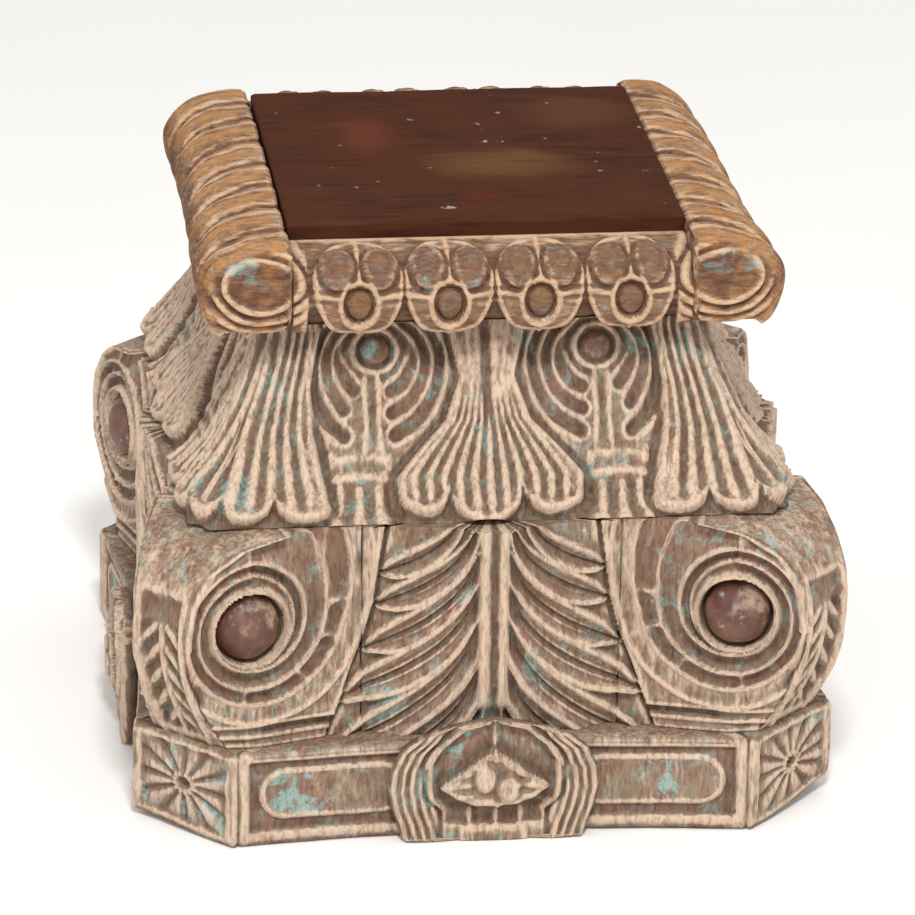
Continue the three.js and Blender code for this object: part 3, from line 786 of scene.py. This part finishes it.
knob = knob_paint()
KNOB_ROWS, KNOB_COLS = 40, 72
PEG_ROWS, PEG_RADIUS = 10, 5.0
FACE_OUT = np.array((-0.2840, -0.9588))
arc = np.linspace(0, math.pi / 2, KNOB_ROWS - PEG_ROWS - 2)
knob_radius = np.concatenate([EYE_SIZE * np.sin(arc), (EYE_SIZE * 0.985, EYE_SIZE * 0.9),
                              np.full(PEG_ROWS, PEG_RADIUS)])
knob_out = np.concatenate([13.0 * np.cos(arc) - 9.6, (-10.0, -10.4), np.linspace(-10.6, -21.0, PEG_ROWS)])
knob_radius[0] = 0.05
turn = np.linspace(0, 2 * math.pi, KNOB_COLS, endpoint=False)[None, :]
eye_middle = np.array((EYE_OUT, -156.3))
for side, where in enumerate(("front", "right", "back", "left")):
    for half_name, sign in (("a", -1), ("b", 1)):
        seed = 60 + 2 * side + (sign > 0)
        uneven = 0.03 * wander(np.cos(turn) * 9, np.sin(turn) * 9, 6, seed)
        radius = knob_radius[:, None] * (1 + uneven * rise_to(0, 6, knob_radius[:, None]))
        level_part, up_part = radius * np.cos(turn), radius * np.sin(turn)
        out = np.broadcast_to(knob_out[:, None], level_part.shape)
        out = out + 0.5 * wander(level_part, up_part, 5, seed + 9) * (out > -9)
        x = eye_middle[0] + FACE_ALONG[0] * level_part + FACE_OUT[0] * out
        y = eye_middle[1] + FACE_ALONG[1] * level_part + FACE_OUT[1] * out
        grid = np.stack([sign * x, y, EYE_LEVEL + up_part], -1)
        place = where + "_" + half_name
        eye = ring_piece("knob_" + place, quarter_turned(grid, side), {}, knob)
        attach(eye, "root")
        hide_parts("eye_" + place)

# ---- Bell ------------------------------------------------------------------------------
# A tapered block pegged on the core under the cap. Each side has a fluted leaf in the middle,
# two feather eyes hung with tassels, and half of a long leaf that wraps each corner.
BELL_TOP = millimetres("bell_block")[1][2]
BELL_FOOT_HALF, BELL_NECK_HALF, BELL_SLOPE = 141.0, 98.0, 97.5
FEATHER_OUT, FEATHER_UP = 51.5, 78.0
FEATHER_LOBES = (
    ((36, 95), (27, 88), (21.5, 75), (24, 60), (32, 47), (43, 39)),
    ((41, 92), (32, 85), (28, 73), (31, 61), (37, 53), (44, 49)),
    ((44, 88), (37, 81), (34.5, 72), (38, 63), (44, 59)),
    ((64, 95), (74, 87), (80, 74), (79, 59), (74, 46), (67, 39)),
    ((60, 92), (70, 85), (74, 73), (72, 61), (67, 51)),
    ((58, 88), (66, 81), (68, 72), (65, 64), (62, 60)),
)
FEATHERS = [(line, (1.4, 2.6, 3.0, 3.3, 3.9, 4.6, 4.8, 4.0)) for line in FEATHER_LOBES]


def dome(share):
    """A rounded top: the height of a half circle over a share that runs from 0 in the middle to 1."""
    return np.sqrt(np.clip(1 - share ** 2, 0, 1))


def scallop(place, ends):
    """Round arches: within each span between two ends, 1 less the height of a half circle."""
    total = 0.0
    for a, b in zip(ends[:-1], ends[1:]):
        total = total + np.where((place >= a) & (place < b), 1 - dome((2 * place - a - b) / (b - a)), 0)
    return total


def middle_leaf(s, v):
    """Height of the middle leaf, where it lies, and the share of its half width at each point. The long
    flutes follow that share, so that they draw in at the waist and spread at the foot."""
    f = s / np.interp(v, (-4, 0, 8, 20, 30, 45, 65, 87, 98), (34, 39, 43, 44, 35, 20, 13, 18, 20))
    bottom = np.where(np.abs(f + 0.06) < 0.38, -2.0, 2.5) + 13 * scallop(f, (-1.03, -0.44, 0.32, 1.03))
    inside = rise_to(1.02, 0.94, np.abs(f)) * rise_to(bottom - 0.8, bottom + 1.5, v)
    flutes = np.cos(f * 2 * math.pi * 6.2 + 0.5 * np.sin(v / 11)) * rise_to(66, 40, v)
    height = 3.2 + 1.5 * flutes * rise_to(bottom + 1, bottom + 10, v) + 2.4 * rise_to(34, 6, v)
    height = height - 3.4 * bump(s, -0.5, 2.8) * rise_to(36, 50, v)
    height = height + 1.5 * bump(np.abs(f), 0.93, 0.1) + 0.8 * bump(np.abs(f), 0.52, 0.07) * rise_to(30, 60, v)
    height = height + 1.0 * bump(v, bottom + 3.0, 1.4) - 1.0 * bump(v, bottom + 6.2, 1.4)
    return height, inside, f


def corner_leaf(x, v, half):
    """Height of the half leaf that wraps a corner, where it lies, and the share of the way to the corner,
    which spaces its flutes."""
    inner = np.interp(v, (-2, 5, 20, 40, 60, 87, 98), (74, 74, 78, 81.5, 82, 77, 79))
    g = (x - inner) / np.maximum(half - inner + 1.5, 4)
    bottom = 1.0 + 11 * scallop(g, (-0.05, 0.42, 0.80, 1.15))
    inside = rise_to(-0.06, 0.06, g) * rise_to(bottom - 0.8, bottom + 1.5, v)
    folds = np.cos(g * 2 * math.pi * 6.5 + 0.6 * np.sin(v / 9)) * rise_to(bottom + 1, bottom + 10, v)
    height = 2.6 + 1.5 * folds + 2.6 * rise_to(30, 5, v) + 1.3 * bump(g, 0.05, 0.06)
    height = height + 1.0 * bump(v, bottom + 3.0, 1.4) - 1.0 * bump(v, bottom + 6.2, 1.4)
    return height, inside, g


def feather_eye(x, v):
    """Height between the leaves: hollow feather lobes round a boss in raised rings, over a grooved stem, a
    banded cup and a tassel of three toes with round tips. Also its wash, its hollows and its boss."""
    share, _ = blades(x, v, FEATHERS)
    height = fluted(np.minimum(share, 1.5), 3.4, 1.8) * rise_to(1.5, 1.2, share) + 0.3
    ring = np.hypot(x - FEATHER_OUT, v - FEATHER_UP)
    eye = 2.4 * rise_to(7.4, 5.2, ring) * dome(ring / 9) - 2.8 * bump(ring, 7.6, 0.9)
    eye = eye + 2.2 * bump(ring, 10.4, 1.1) - 2.6 * bump(ring, 13.3, 1.3) + 1.5 * bump(ring, 16.2, 1.0)
    height = np.where(ring < 17, height * rise_to(11.5, 17, ring) + eye * rise_to(17, 12, ring), height)
    height = height + 1.6 * bump(ring, 16.2, 1.0) * (v > 72)
    stem_half = np.interp(v, (20, 31, 45, 62, 70), (8.5, 4.2, 2.8, 3.8, 1.5))
    off = np.abs(x - 53.5)
    in_stem = rise_to(20, 22, v) * rise_to(68, 64, v) * rise_to(stem_half + 2.0, stem_half + 0.8, off)
    stem = 1.2 + 1.7 * bump(off, stem_half, 1.0) - 1.2 * bump(x, 53.5, 1.6) * rise_to(28, 36, v)
    height = height * (1 - in_stem) + stem * in_stem
    in_cup = rise_to(15.5, 14, np.abs(x - 60)) * rise_to(17.5, 19.0, v) * rise_to(33, 30, v)
    bowed = v + 2.5 * ((x - 60) / 14) ** 2
    cup = 0.8 + 0.9 * bump(bowed, 21.5, 1.1) + 0.5 * bump(bowed, 29.5, 1.1) - 0.9 * bump(bowed, 25.5, 2.0)
    height = height * (1 - in_cup) + cup * in_cup
    toes = sum(bump(x, at, 2.5) for at in (52.0, 61.0, 70.0))
    balls = sum(bump(np.hypot(x - at, v - 0.5), 0, 4.2) for at in (51.0, 61.5, 72.0))
    hung = rise_to(18.5, 16.5, v) * rise_to(16.5, 14, np.abs(x - 61))
    tassel = -1.5 + 3.4 * np.minimum(toes, 1) * rise_to(3, 6, v) + 5.5 * np.minimum(balls, 1)
    height = height * (1 - hung) + tassel * hung
    field = rise_to(36, 28, v) * (1 - in_cup) * (1 - hung)
    height = height * (1 - field) - 0.8 * field - 1.5
    wash = 0.25 * field + 0.2 * in_stem + 0.1 * in_cup
    return height, wash, rise_to(0.95, 0.5, share) * (1 - in_stem), rise_to(8.0, 6.5, ring)


def bell_side(s, v, half):
    """Height over one side, v measured up the slope: the middle leaf lies over the corner leaves, and both
    over the feather eyes, with a cut line round each leaf."""
    x = np.abs(s)
    middle, in_middle, f = middle_leaf(s, v)
    corner, in_corner, g = corner_leaf(x, v, half)
    feather, wash, hollow, boss = feather_eye(x, v)
    height = (feather * (1 - in_corner) + corner * in_corner) * (1 - in_middle) + middle * in_middle
    height -= 1.6 * bump(np.abs(f), 1.06, 0.05) * (1 - in_corner) + 1.4 * bump(g, -0.07, 0.04) * (1 - in_middle)
    hollow = hollow * (1 - in_corner) * (1 - in_middle)
    wash = wash + 0.45 * in_middle * rise_to(38, 62, v) * (1 - bump(s, -0.5, 3.2))
    return height, wash - 0.35 * hollow - 1.9 * boss, np.clip(0.65 * hollow + 0.2 * in_middle + boss, 0, 1)


BELL_ROWS, BELL_COLS = 122, (280, 140, 110, 240)
v = np.linspace(0.0, BELL_SLOPE, BELL_ROWS)[:, None]
height_up = TIER_TOP + (BELL_TOP - TIER_TOP) * v / BELL_SLOPE
half = BELL_FOOT_HALF - (BELL_FOOT_HALF - BELL_NECK_HALF) * v / BELL_SLOPE - 5.0 * np.sin(math.pi * v / BELL_SLOPE)
bands = []
for turns, cols in enumerate(BELL_COLS):
    share = np.linspace(-1, 1, cols, endpoint=False)[None, :]
    side_s = half * share * (1 - 0.035 * rise_to(0.93, 1, np.abs(share)))
    softened = -half + 7.5 * rise_to(0.90, 1.0, np.abs(share)) ** 1.5
    flat = np.stack([side_s, softened, np.broadcast_to(height_up, side_s.shape)], -1)
    fine = np.linspace(-1, 1, cols * 3, endpoint=False)[None, :] * half
    relief = bell_side(fine, np.broadcast_to(v, fine.shape), half)
    bands.append([quarter_turned(flat, turns)] + [averaged(part, 1, False)[:, ::3] for part in relief])
base, height, wash, tint = (np.concatenate(parts, axis=1) for parts in zip(*bands))
height = height + 1.5 * rise_to(14, 2, v)
bearing = np.arctan2(base[..., 1], base[..., 0]) * 110
height = height + hand(bearing, base[..., 2], 70, 0.4)
direction = normals_of(base)
height = height * rise_to(BELL_SLOPE + 0.5, BELL_SLOPE - 3, v)
grid = base + direction * height[..., None]
grid[..., 2] = np.clip(grid[..., 2], TIER_TOP + 0.15, BELL_TOP)
fleck = sum(bump(np.hypot(base[..., 0] - a, base[..., 2] - b), 0, 9) for a, b in
            ((-92, 208), (18, 226), (-20, 208), (112, 178), (-118, 165), (-62, 168), (96, 222), (-72, 236)))
crest, pit = worn_marks(height, 0.95, around=True)
marks = {"crest": crest, "pit": pit, "wash": wash, "tint": tint, "fleck": np.clip(fleck, 0, 1)}
bell = ring_piece("carved_bell", grid, marks, limed)
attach(bell, "root")
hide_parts("bell_block")

# ---- Side rails of the cap -------------------------------------------------------------
# Two heavy rails down the sides of the top, cut with slanting flutes that curl over the edge;
# each end is a large rounded lobe. Worn ochre paint.
def cap_paint(name, ground, second, share):
    """Browned paint with yellow ochre left on the high parts and pale wood showing along the edges."""
    return carved_paint(name, ground, rgb(86, 55, 43), rgb(200, 168, 138), rgb(140, 172, 165), second,
                        rgb(128, 96, 74), (0.25, 1.0, 1.0), accent_share=0.1, pale_share=share)


ochre = cap_paint("ochre_moulding", rgb(120, 88, 70), rgb(174, 127, 82), 0.15)
RAIL_ROWS, RAIL_COLS = 330, 112
rail_low, rail_high = millimetres("side_rail_right")
RAIL_INNER, RAIL_OUTER = rail_low[0], rail_high[0]
RAIL_END, RAIL_FOOT, RAIL_TOP = rail_high[1], rail_low[2], rail_high[2]
section = flow(((RAIL_INNER, RAIL_TOP - 3.2), (RAIL_INNER + 8, RAIL_TOP - 3.2), (RAIL_INNER + 20, RAIL_TOP - 5.0),
                (RAIL_INNER + 31, RAIL_TOP - 10), (RAIL_OUTER - 1.2, RAIL_TOP - 19), (RAIL_OUTER - 0.5, RAIL_TOP - 27),
                (RAIL_OUTER - 4, RAIL_TOP - 36), (RAIL_OUTER - 9, RAIL_FOOT)), RAIL_COLS - 24)
under = np.linspace(section[-1], (RAIL_INNER, RAIL_FOOT), 12, endpoint=False)[1:]
wall = np.linspace((RAIL_INNER, RAIL_FOOT), section[0], 13, endpoint=False)
section = np.vstack([section, under, wall])


def lobe_relief(x, z):
    """Height of the lobe on a rail's end: a dark drop-shaped dish within three raised rings that draw to
    the outer side, and small bosses along its outer rim."""
    drop = np.hypot((x - 107.0) / np.where(x > 107.0, 14.5, 17.5), (z - 264) / 10.0)
    inner = rise_to(84, 89, x)
    rings = 2.2 * bump(drop, 1.10, 0.10) + (1.6 * bump(drop, 1.48, 0.11) + 1.3 * bump(drop, 1.86, 0.12)) * inner
    gaps = 1.6 * bump(drop, 1.29, 0.07) + (1.5 * bump(drop, 1.67, 0.07) + 1.4 * bump(drop, 2.05, 0.08)) * inner
    return rings - gaps - 1.6 * rise_to(1.0, 0.6, drop), rise_to(1.02, 0.9, drop), bump(drop, 1.10, 0.12)


def rail_piece(name, sign, seed):
    """One rail: the section swept along its length, drawn in at both ends to a rounded nose, with flutes that
    lean by 20 degrees and bend forward over the edge."""
    along = np.linspace(0, 1, RAIL_ROWS)[:, None]
    end = 0.16
    near = np.minimum(along, 1 - along) / end
    angle = np.clip(near, 0, 1) * math.pi / 2
    size = np.sin(angle) ** 0.62
    travel = np.where(near < 1, (1 - np.cos(angle)) * 17.0, 17.0 + (np.minimum(along, 1 - along) - end)
                      / (0.5 - end) * (RAIL_END - 17.0))
    y = np.where(along < 0.5, -RAIL_END + travel, RAIL_END - travel)
    middle = np.array((112.0, 262.0))
    size = np.maximum(size, 0.02)
    x = middle[0] + (section[None, :, 0] - middle[0]) * np.where(section[None, :, 0] < middle[0], size ** 0.3, size)
    z = middle[1] + (section[None, :, 1] - middle[1]) * size
    y = np.broadcast_to(y, x.shape)
    base = np.stack([x, y, z], -1)
    direction = normals_of(base)
    outer = np.clip((x - RAIL_INNER) / (RAIL_OUTER - RAIL_INNER), 0, 1)
    lean = y + 14.0 * outer - 9.0 * outer ** 2 + 2.4 * np.sin(y / 23 + seed) + 7.0 * rise_to(275, 250, z)
    lean = lean + 1.8 * wander(y, x * 2, 15, seed + 5)
    pitch = 33.0
    flute = (lean / pitch) % 1.0
    cupped = 3.6 * np.sin(math.pi * flute) ** 0.6 - 1.0 * bump(flute, 0.56, 0.035) - 0.9 * bump(flute, 0.80, 0.03)
    cupped = cupped - 0.6 * bump(flute, 0.30, 0.03) * outer
    cupped = cupped - 2.4 * bump(flute, 0.0, 0.05) - 2.4 * bump(flute, 1.0, 0.05)
    cupped = cupped * (0.45 + 0.95 * outer)
    facing = rise_to(0.25, 0.7, np.abs(direction[..., 1])) * rise_to(RAIL_END - 26, RAIL_END - 12, np.abs(y))
    lobe, field, ring = lobe_relief(x, z)
    height = cupped * (1 - facing) + lobe * facing
    hidden = (x < RAIL_INNER + 0.3) & (np.abs(direction[..., 0]) > 0.8)
    height = np.where(hidden | (direction[..., 2] < -0.85), 0.0, height)
    notch = np.interp(y, (-132, -112, -92, -60, 0, 60, 110, 132), (0, 0, 2.0, 4.5, 6, 6.5, 8, 10.0) if sign > 0
                      else (1, 0, 1.5, 3, 4, 4, 3, 4))
    height = height - notch * outer ** 3 * (1 - facing) - 1.2 * rise_to(3, 0.5, x - RAIL_INNER) * (z > 277)
    points = base + direction * (height + hand(y, x * 1.3 + z, seed, 0.35))[..., None]
    points[..., 0] = np.maximum(points[..., 0], RAIL_INNER + 0.02)
    points[..., 2] -= 3.2 * rise_to(20, 132, y) * rise_to(240, 275, z)
    points[..., 0] *= sign
    crest, pit = worn_marks(height, 0.85)
    band = 0.9 * bump(flute, 0.70, 0.09) - 0.45 * bump(flute, 0.40, 0.12) + 0.4 * bump(flute, 0.13, 0.05)
    wash = 0.25 * rise_to(0.3, 0.05, outer) - 0.15 + band * (1 - facing) + 0.4 * facing * ring
    wash = wash * (1 - 0.9 * facing * field)
    tint = np.clip(1.1 * bump(flute, 0.40, 0.15) * rise_to(0.0, 0.15, outer) * rise_to(1.0, 0.8, outer), 0, 1)
    tint = tint * (1 - facing)
    grime = 1.4 * pit + (bump(flute, 0, 0.08) + bump(flute, 0.95, 0.09)) * (1 - facing) + 1.3 * facing * field
    grime = grime + 0.8 * rise_to(0.8, 1.0, outer) * (1 - facing)
    grime = np.clip(grime, 0, 1)
    points[..., 2] -= 3.5 * rise_to(258, 246, z) * rise_to(96, 112, np.abs(y)) * (x > RAIL_INNER + 2)
    fleck = facing * rise_to(1.3, 1.0, np.hypot((x - 108) / 15, (z - 272) / 6))
    marks = {"crest": crest, "pit": grime, "wash": wash, "tint": tint, "fleck": fleck}
    rail = ring_piece("carved_" + name, points, marks, ochre)
    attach(rail, "root")
    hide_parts(name)


rail_piece("side_rail_right", 1, 80)
rail_piece("side_rail_left", -1, 90)

# ---- Medallion rails of the cap --------------------------------------------------------
# The front and back edges of the top: a moulded rail between the side rails, carved with four
# round medallions, each of two lobes over a beaded flower and a scalloped foot.
medallion_paint = cap_paint("medallion_paint", rgb(124, 98, 82), rgb(138, 102, 74), 0.3)
MEDALLION_ROWS, MEDALLION_COLS = 232, 96
BAR_END = millimetres("medallion_rail_front")[1][0]
bar_low, bar_high = millimetres("medallion_rail_front")
BAR_BACK, BAR_FRONT, BAR_TOP, BAR_FOOT = bar_high[1], bar_low[1], bar_high[2], bar_low[2]
profile = flow(((BAR_BACK, BAR_TOP), (-108, BAR_TOP - 0.2), (-119, BAR_TOP - 3.5), (-128, BAR_TOP - 10),
                (-131.4, BAR_TOP - 18), (-130.4, BAR_TOP - 26), (-124, BAR_FOOT)), 76)
under = np.linspace(profile[-1], (BAR_BACK, BAR_FOOT), 10, endpoint=False)[1:]
rear = np.linspace((BAR_BACK, BAR_FOOT), profile[0], 11, endpoint=False)
profile = np.vstack([profile, under, rear])
run = np.concatenate([[0], np.cumsum(np.hypot(*np.diff(profile[:76], axis=0).T))])
up = np.concatenate([run[-1] - run, np.full(len(profile) - 76, -9.0)])[None, :]
MEDALLION_CENTRES = (-61.8, -20.4, 21.2, 62.8)


def medallion_relief(s, v, z):
    """Height of the rail: within each circle two pillow lobes stand each side of a central ridge, over a bead
    in a ring; ridges run out from the ring; seams between circles are low and pale."""
    centre = np.array(MEDALLION_CENTRES)[np.argmin(np.abs(s[..., None] - np.array(MEDALLION_CENTRES)), axis=-1)]
    dx, dv = s - centre, v - 26.0
    disc = ((np.abs(dx) / 20.9) ** 2.4 + (np.abs(dv) / 25.0) ** 2.4) ** (1 / 2.4)
    inside = rise_to(1.03, 0.93, disc)
    backing = -0.6 - 3.4 * rise_to(16, 8, v)
    height = backing * (1 - inside) + inside * (0.4 + 3.4 * np.sqrt(np.clip(1 - disc ** 2, 0, 1))) + 1.4 * bump(disc, 0.94, 0.05)
    lobe = np.hypot((np.abs(dx) - 9.8) / 8.4, (v - 33) / 11.5)
    height = height + 2.9 * np.sqrt(np.clip(1 - lobe ** 2, 0, 1)) - 1.6 * bump(lobe, 1.08, 0.12)
    height = height - 1.1 * bump(lobe, 0.55, 0.09) + 1.2 * bump(dx, 0, 1.0) * rise_to(24, 27, v) * inside
    bead = np.hypot(dx, v - 16.0)
    height = height * rise_to(5.5, 8.0, bead) + rise_to(7.0, 5.6, bead) * (2.0 + 2.0 * np.sqrt(np.clip(1 - (bead / 6.5) ** 2, 0, 1)))
    height = height - 2.2 * bump(bead, 6.5, 0.8) + 1.9 * bump(bead, 8.7, 1.0)
    arm = np.abs(v - 17.5 - 0.10 * np.abs(dx)) 
    height = height + 1.3 * bump(arm, 0, 1.0) * rise_to(9, 10.5, bead) * inside - 0.9 * bump(arm, 2.4, 0.8) * rise_to(9, 11, bead)
    height = height + 1.0 * bump(dx, 0, 0.9) * rise_to(8, 6, v) - 2.8 * rise_to(2.5 + 9 * (np.abs(dx) / 20.6) ** 3, 0.5, v) * (v > -5)
    corner = rise_to(84.2, 85.4, np.abs(s))
    lobe_height, field, ring = lobe_relief(np.abs(s), z)
    height = height * (1 - corner) + lobe_height * corner
    dark = (rise_to(1.02, 0.85, lobe) + rise_to(6.4, 5.4, bead)) * (1 - corner) + field * corner
    seam = 1 - inside
    pale = 0.65 * seam * rise_to(6, 14, v) + 0.6 * bump(bead, 8.7, 1.2) + 0.4 * bump(disc, 0.97, 0.06) + 0.4 * bump(dx, 0, 1.2) * (v > 24)
    return height, pale - 0.6 * dark - 1.2 * rise_to(6.6, 5.8, bead) + 1.5 * bump(bead, 0, 2.2), 0.4 * rise_to(1.0, 0.6, lobe) * (wander(s, v, 8, 3) > 0.1), dark


s = np.linspace(-BAR_END, BAR_END, MEDALLION_ROWS)[:, None]
s_grid, up_grid = np.broadcast_arrays(s, up)
level = np.broadcast_to(profile[None, :, 1], s_grid.shape)
height, wash, tint, dark = medallion_relief(s_grid, up_grid, level)
base = np.stack([s_grid, np.broadcast_to(profile[None, :, 0], s_grid.shape), level], -1)
direction = normals_of(base)
shown = (up_grid > -5) * rise_to(run[-1] - 0.5, run[-1] - 3.5, up_grid)
for turns, where in ((0, "front"), (2, "back")):
    h = np.clip(height, -3.6, 6.5) * shown - 1.0 * shown
    grid = base + direction * (h + shown * hand(s_grid, up_grid, 100 + turns, 0.35))[..., None]
    grid[..., 2] -= 3.5 * rise_to(16, 4, up_grid) * shown
    grid[..., 2] = np.minimum(grid[..., 2], BAR_TOP + 4.5)
    grid[..., 1] = np.minimum(grid[..., 1], BAR_BACK)
    crest, pit = worn_marks(h, 0.8)
    fleck = 0.8 * bump(s_grid % 17.0, 8, 3) * bump(up_grid, 42, 5) + 0.8 * bump(np.abs(s_grid + 21), 12, 5) * bump(up_grid, 24, 5)
    marks = {"crest": crest, "pit": np.clip(pit + 0.45 * dark, 0, 1), "wash": wash, "tint": tint, "fleck": fleck}
    bar = ring_piece("carved_medallion_rail_" + where, quarter_turned(grid, turns), marks, medallion_paint)
    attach(bar, "root")
    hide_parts("medallion_rail_" + where)

# ---- Top boards ------------------------------------------------------------------------
# Two smooth boards let in flush between the rails, butted along a faint seam. Dark red-brown
# stain, waxed, with redder and ochre wear in patches and small chips of the old pale paint.
def board_paint():
    """Streaks along the grain in two browns, with soft patches placed where the top is worn."""
    material, tree, shader = new_material("dark_board")
    shader.inputs["Specular IOR Level"].default_value = 0.03
    place = node(tree, "TexCoord").outputs["Object"]
    grain = noise(tree, stretched(tree, 0.12, 1.0, 1.0), 260.0, 5.0, 0.6)
    cloud = noise(tree, stretched(tree, 0.5, 1.0, 1.0), 24.0, 5.0, 0.6, 0.6)
    speck = noise(tree, place, 170.0, 3.0, 0.6)
    colour = mixed(tree, ramp_between(tree, grain, 0.3, 0.7), rgb(56, 30, 19), rgb(79, 45, 31))
    colour = mixed(tree, ramp_between(tree, cloud, 0.4, 0.65), colour, rgb(76, 41, 27))
    for x, y, wide, deep, tone, amount in ((-0.043, 0.028, 0.016, 0.034, (106, 56, 40), 0.7),
                                           (0.012, -0.020, 0.036, 0.024, (112, 78, 48), 0.75),
                                           (0.062, 0.055, 0.030, 0.025, (98, 60, 44), 0.7),
                                           (0.002, -0.062, 0.010, 0.014, (92, 40, 30), 0.6)):
        shifted = node(tree, "VectorMath", {"operation": "SUBTRACT"}, _0=place, _1=(x, y, 0.283)).outputs[0]
        by = (1 / wide, 1 / deep, 1.0)
        scaled = node(tree, "VectorMath", {"operation": "MULTIPLY"}, _0=shifted, _1=by).outputs[0]
        span = node(tree, "VectorMath", {"operation": "LENGTH"}, _0=scaled).outputs["Value"]
        span = plus(tree, span, times(tree, cloud, 2.4))
        colour = mixed(tree, ramp_between(tree, span, 2.5, 1.4, 0.0, amount * 0.75), colour, rgb(*tone))
    chips = ramp_between(tree, noise(tree, place, 105.0, 3.0, 0.55), 0.70, 0.74, 0.0, 0.75)
    colour = mixed(tree, chips, colour, rgb(150, 158, 146))
    tree.links.new(colour, shader.inputs["Base Color"])
    tree.links.new(ramp_between(tree, grain, 0.3, 0.7, 0.6, 0.78), shader.inputs["Roughness"])
    roughened(tree, shader, plus(tree, grain, times(tree, speck, 0.4)), 0.3, 0.0004)
    return material


board = board_paint()
BOARD_ROWS = 110
for where, seed in (("front", 110), ("back", 111)):
    low, high = millimetres("top_board_" + where)
    top_y = np.linspace(low[1], high[1], 60)
    easing = 1.2 * bump(top_y, -abs(low[1]), 1.0) * (low[1] < -50) + 1.2 * bump(top_y, high[1], 1.0) * (high[1] > 50)
    loop = [np.stack([top_y, np.full(60, high[2]) - easing], -1),
            np.linspace((high[1], high[2] - 2), (high[1], low[2]), 8),
            np.linspace((high[1], low[2]), (low[1], low[2]), 12)[1:-1],
            np.linspace((low[1], low[2]), (low[1], high[2] - 2), 8)]
    loop = np.vstack(loop)
    x = np.linspace(low[0], high[0], BOARD_ROWS)[:, None]
    x, y, z = np.broadcast_arrays(x, loop[None, :, 0], loop[None, :, 1])
    ends = 0.8 * (bump(x, low[0], 0.9) + bump(x, high[0], 0.9)) * (z > high[2] - 1.5)
    waves = 0.22 * (wander(x, y * 2.2, 16, seed) - 1.0) * (z > high[2] - 1.5)
    scar = 0.12 * wander(x * 0.15, y, 1.9, seed + 3) * (z > high[2] - 1.5)
    grid = np.stack([x, y, z + waves + scar - ends], -1)
    still = np.zeros(x.shape)
    top_board = ring_piece("worn_top_board_" + where, grid, {"crest": still, "pit": still}, board)
    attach(top_board, "root")
    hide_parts("top_board_" + where)

# ---- Core, cap base and dowels ---------------------------------------------------------
# The blocks and pegs that nobody sees stay as they are modelled: sawn timber with long grain,
# and pegs of a paler, closer wood.
def bare_wood(name, light, dark, grain):
    """Unpainted timber: fibres stretched along the grain, wider bands of early and late wood."""
    material, tree, shader = new_material(name)
    fibre = noise(tree, stretched(tree, *grain), 300.0, 5.0, 0.6)
    band = noise(tree, stretched(tree, *grain), 60.0, 3.0, 0.5, 0.8)
    colour = mixed(tree, ramp_between(tree, band, 0.3, 0.7), light, dark)
    colour = mixed(tree, ramp_between(tree, fibre, 0.35, 0.75, 0.0, 0.5), colour, dark)
    tree.links.new(colour, shader.inputs["Base Color"])
    tree.links.new(ramp_between(tree, fibre, 0.3, 0.7, 0.6, 0.85), shader.inputs["Roughness"])
    roughened(tree, shader, fibre, 0.3, 0.0005)
    return material


sawn = bare_wood("raw_wood", rgb(168, 128, 92), rgb(120, 86, 60), (0.12, 1.0, 1.0))
pegs = bare_wood("dowel_wood", rgb(190, 152, 112), rgb(150, 112, 78), (1.0, 1.0, 0.12))
for name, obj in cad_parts.items():
    if name.startswith("dowel"):
        finish, slot_name = pegs, "dowel_wood"
    elif name in ("core_block", "cap_base"):
        finish, slot_name = sawn, "raw_wood"
    else:
        continue
    obj.data.materials.clear()
    obj.data.materials.append(finish)
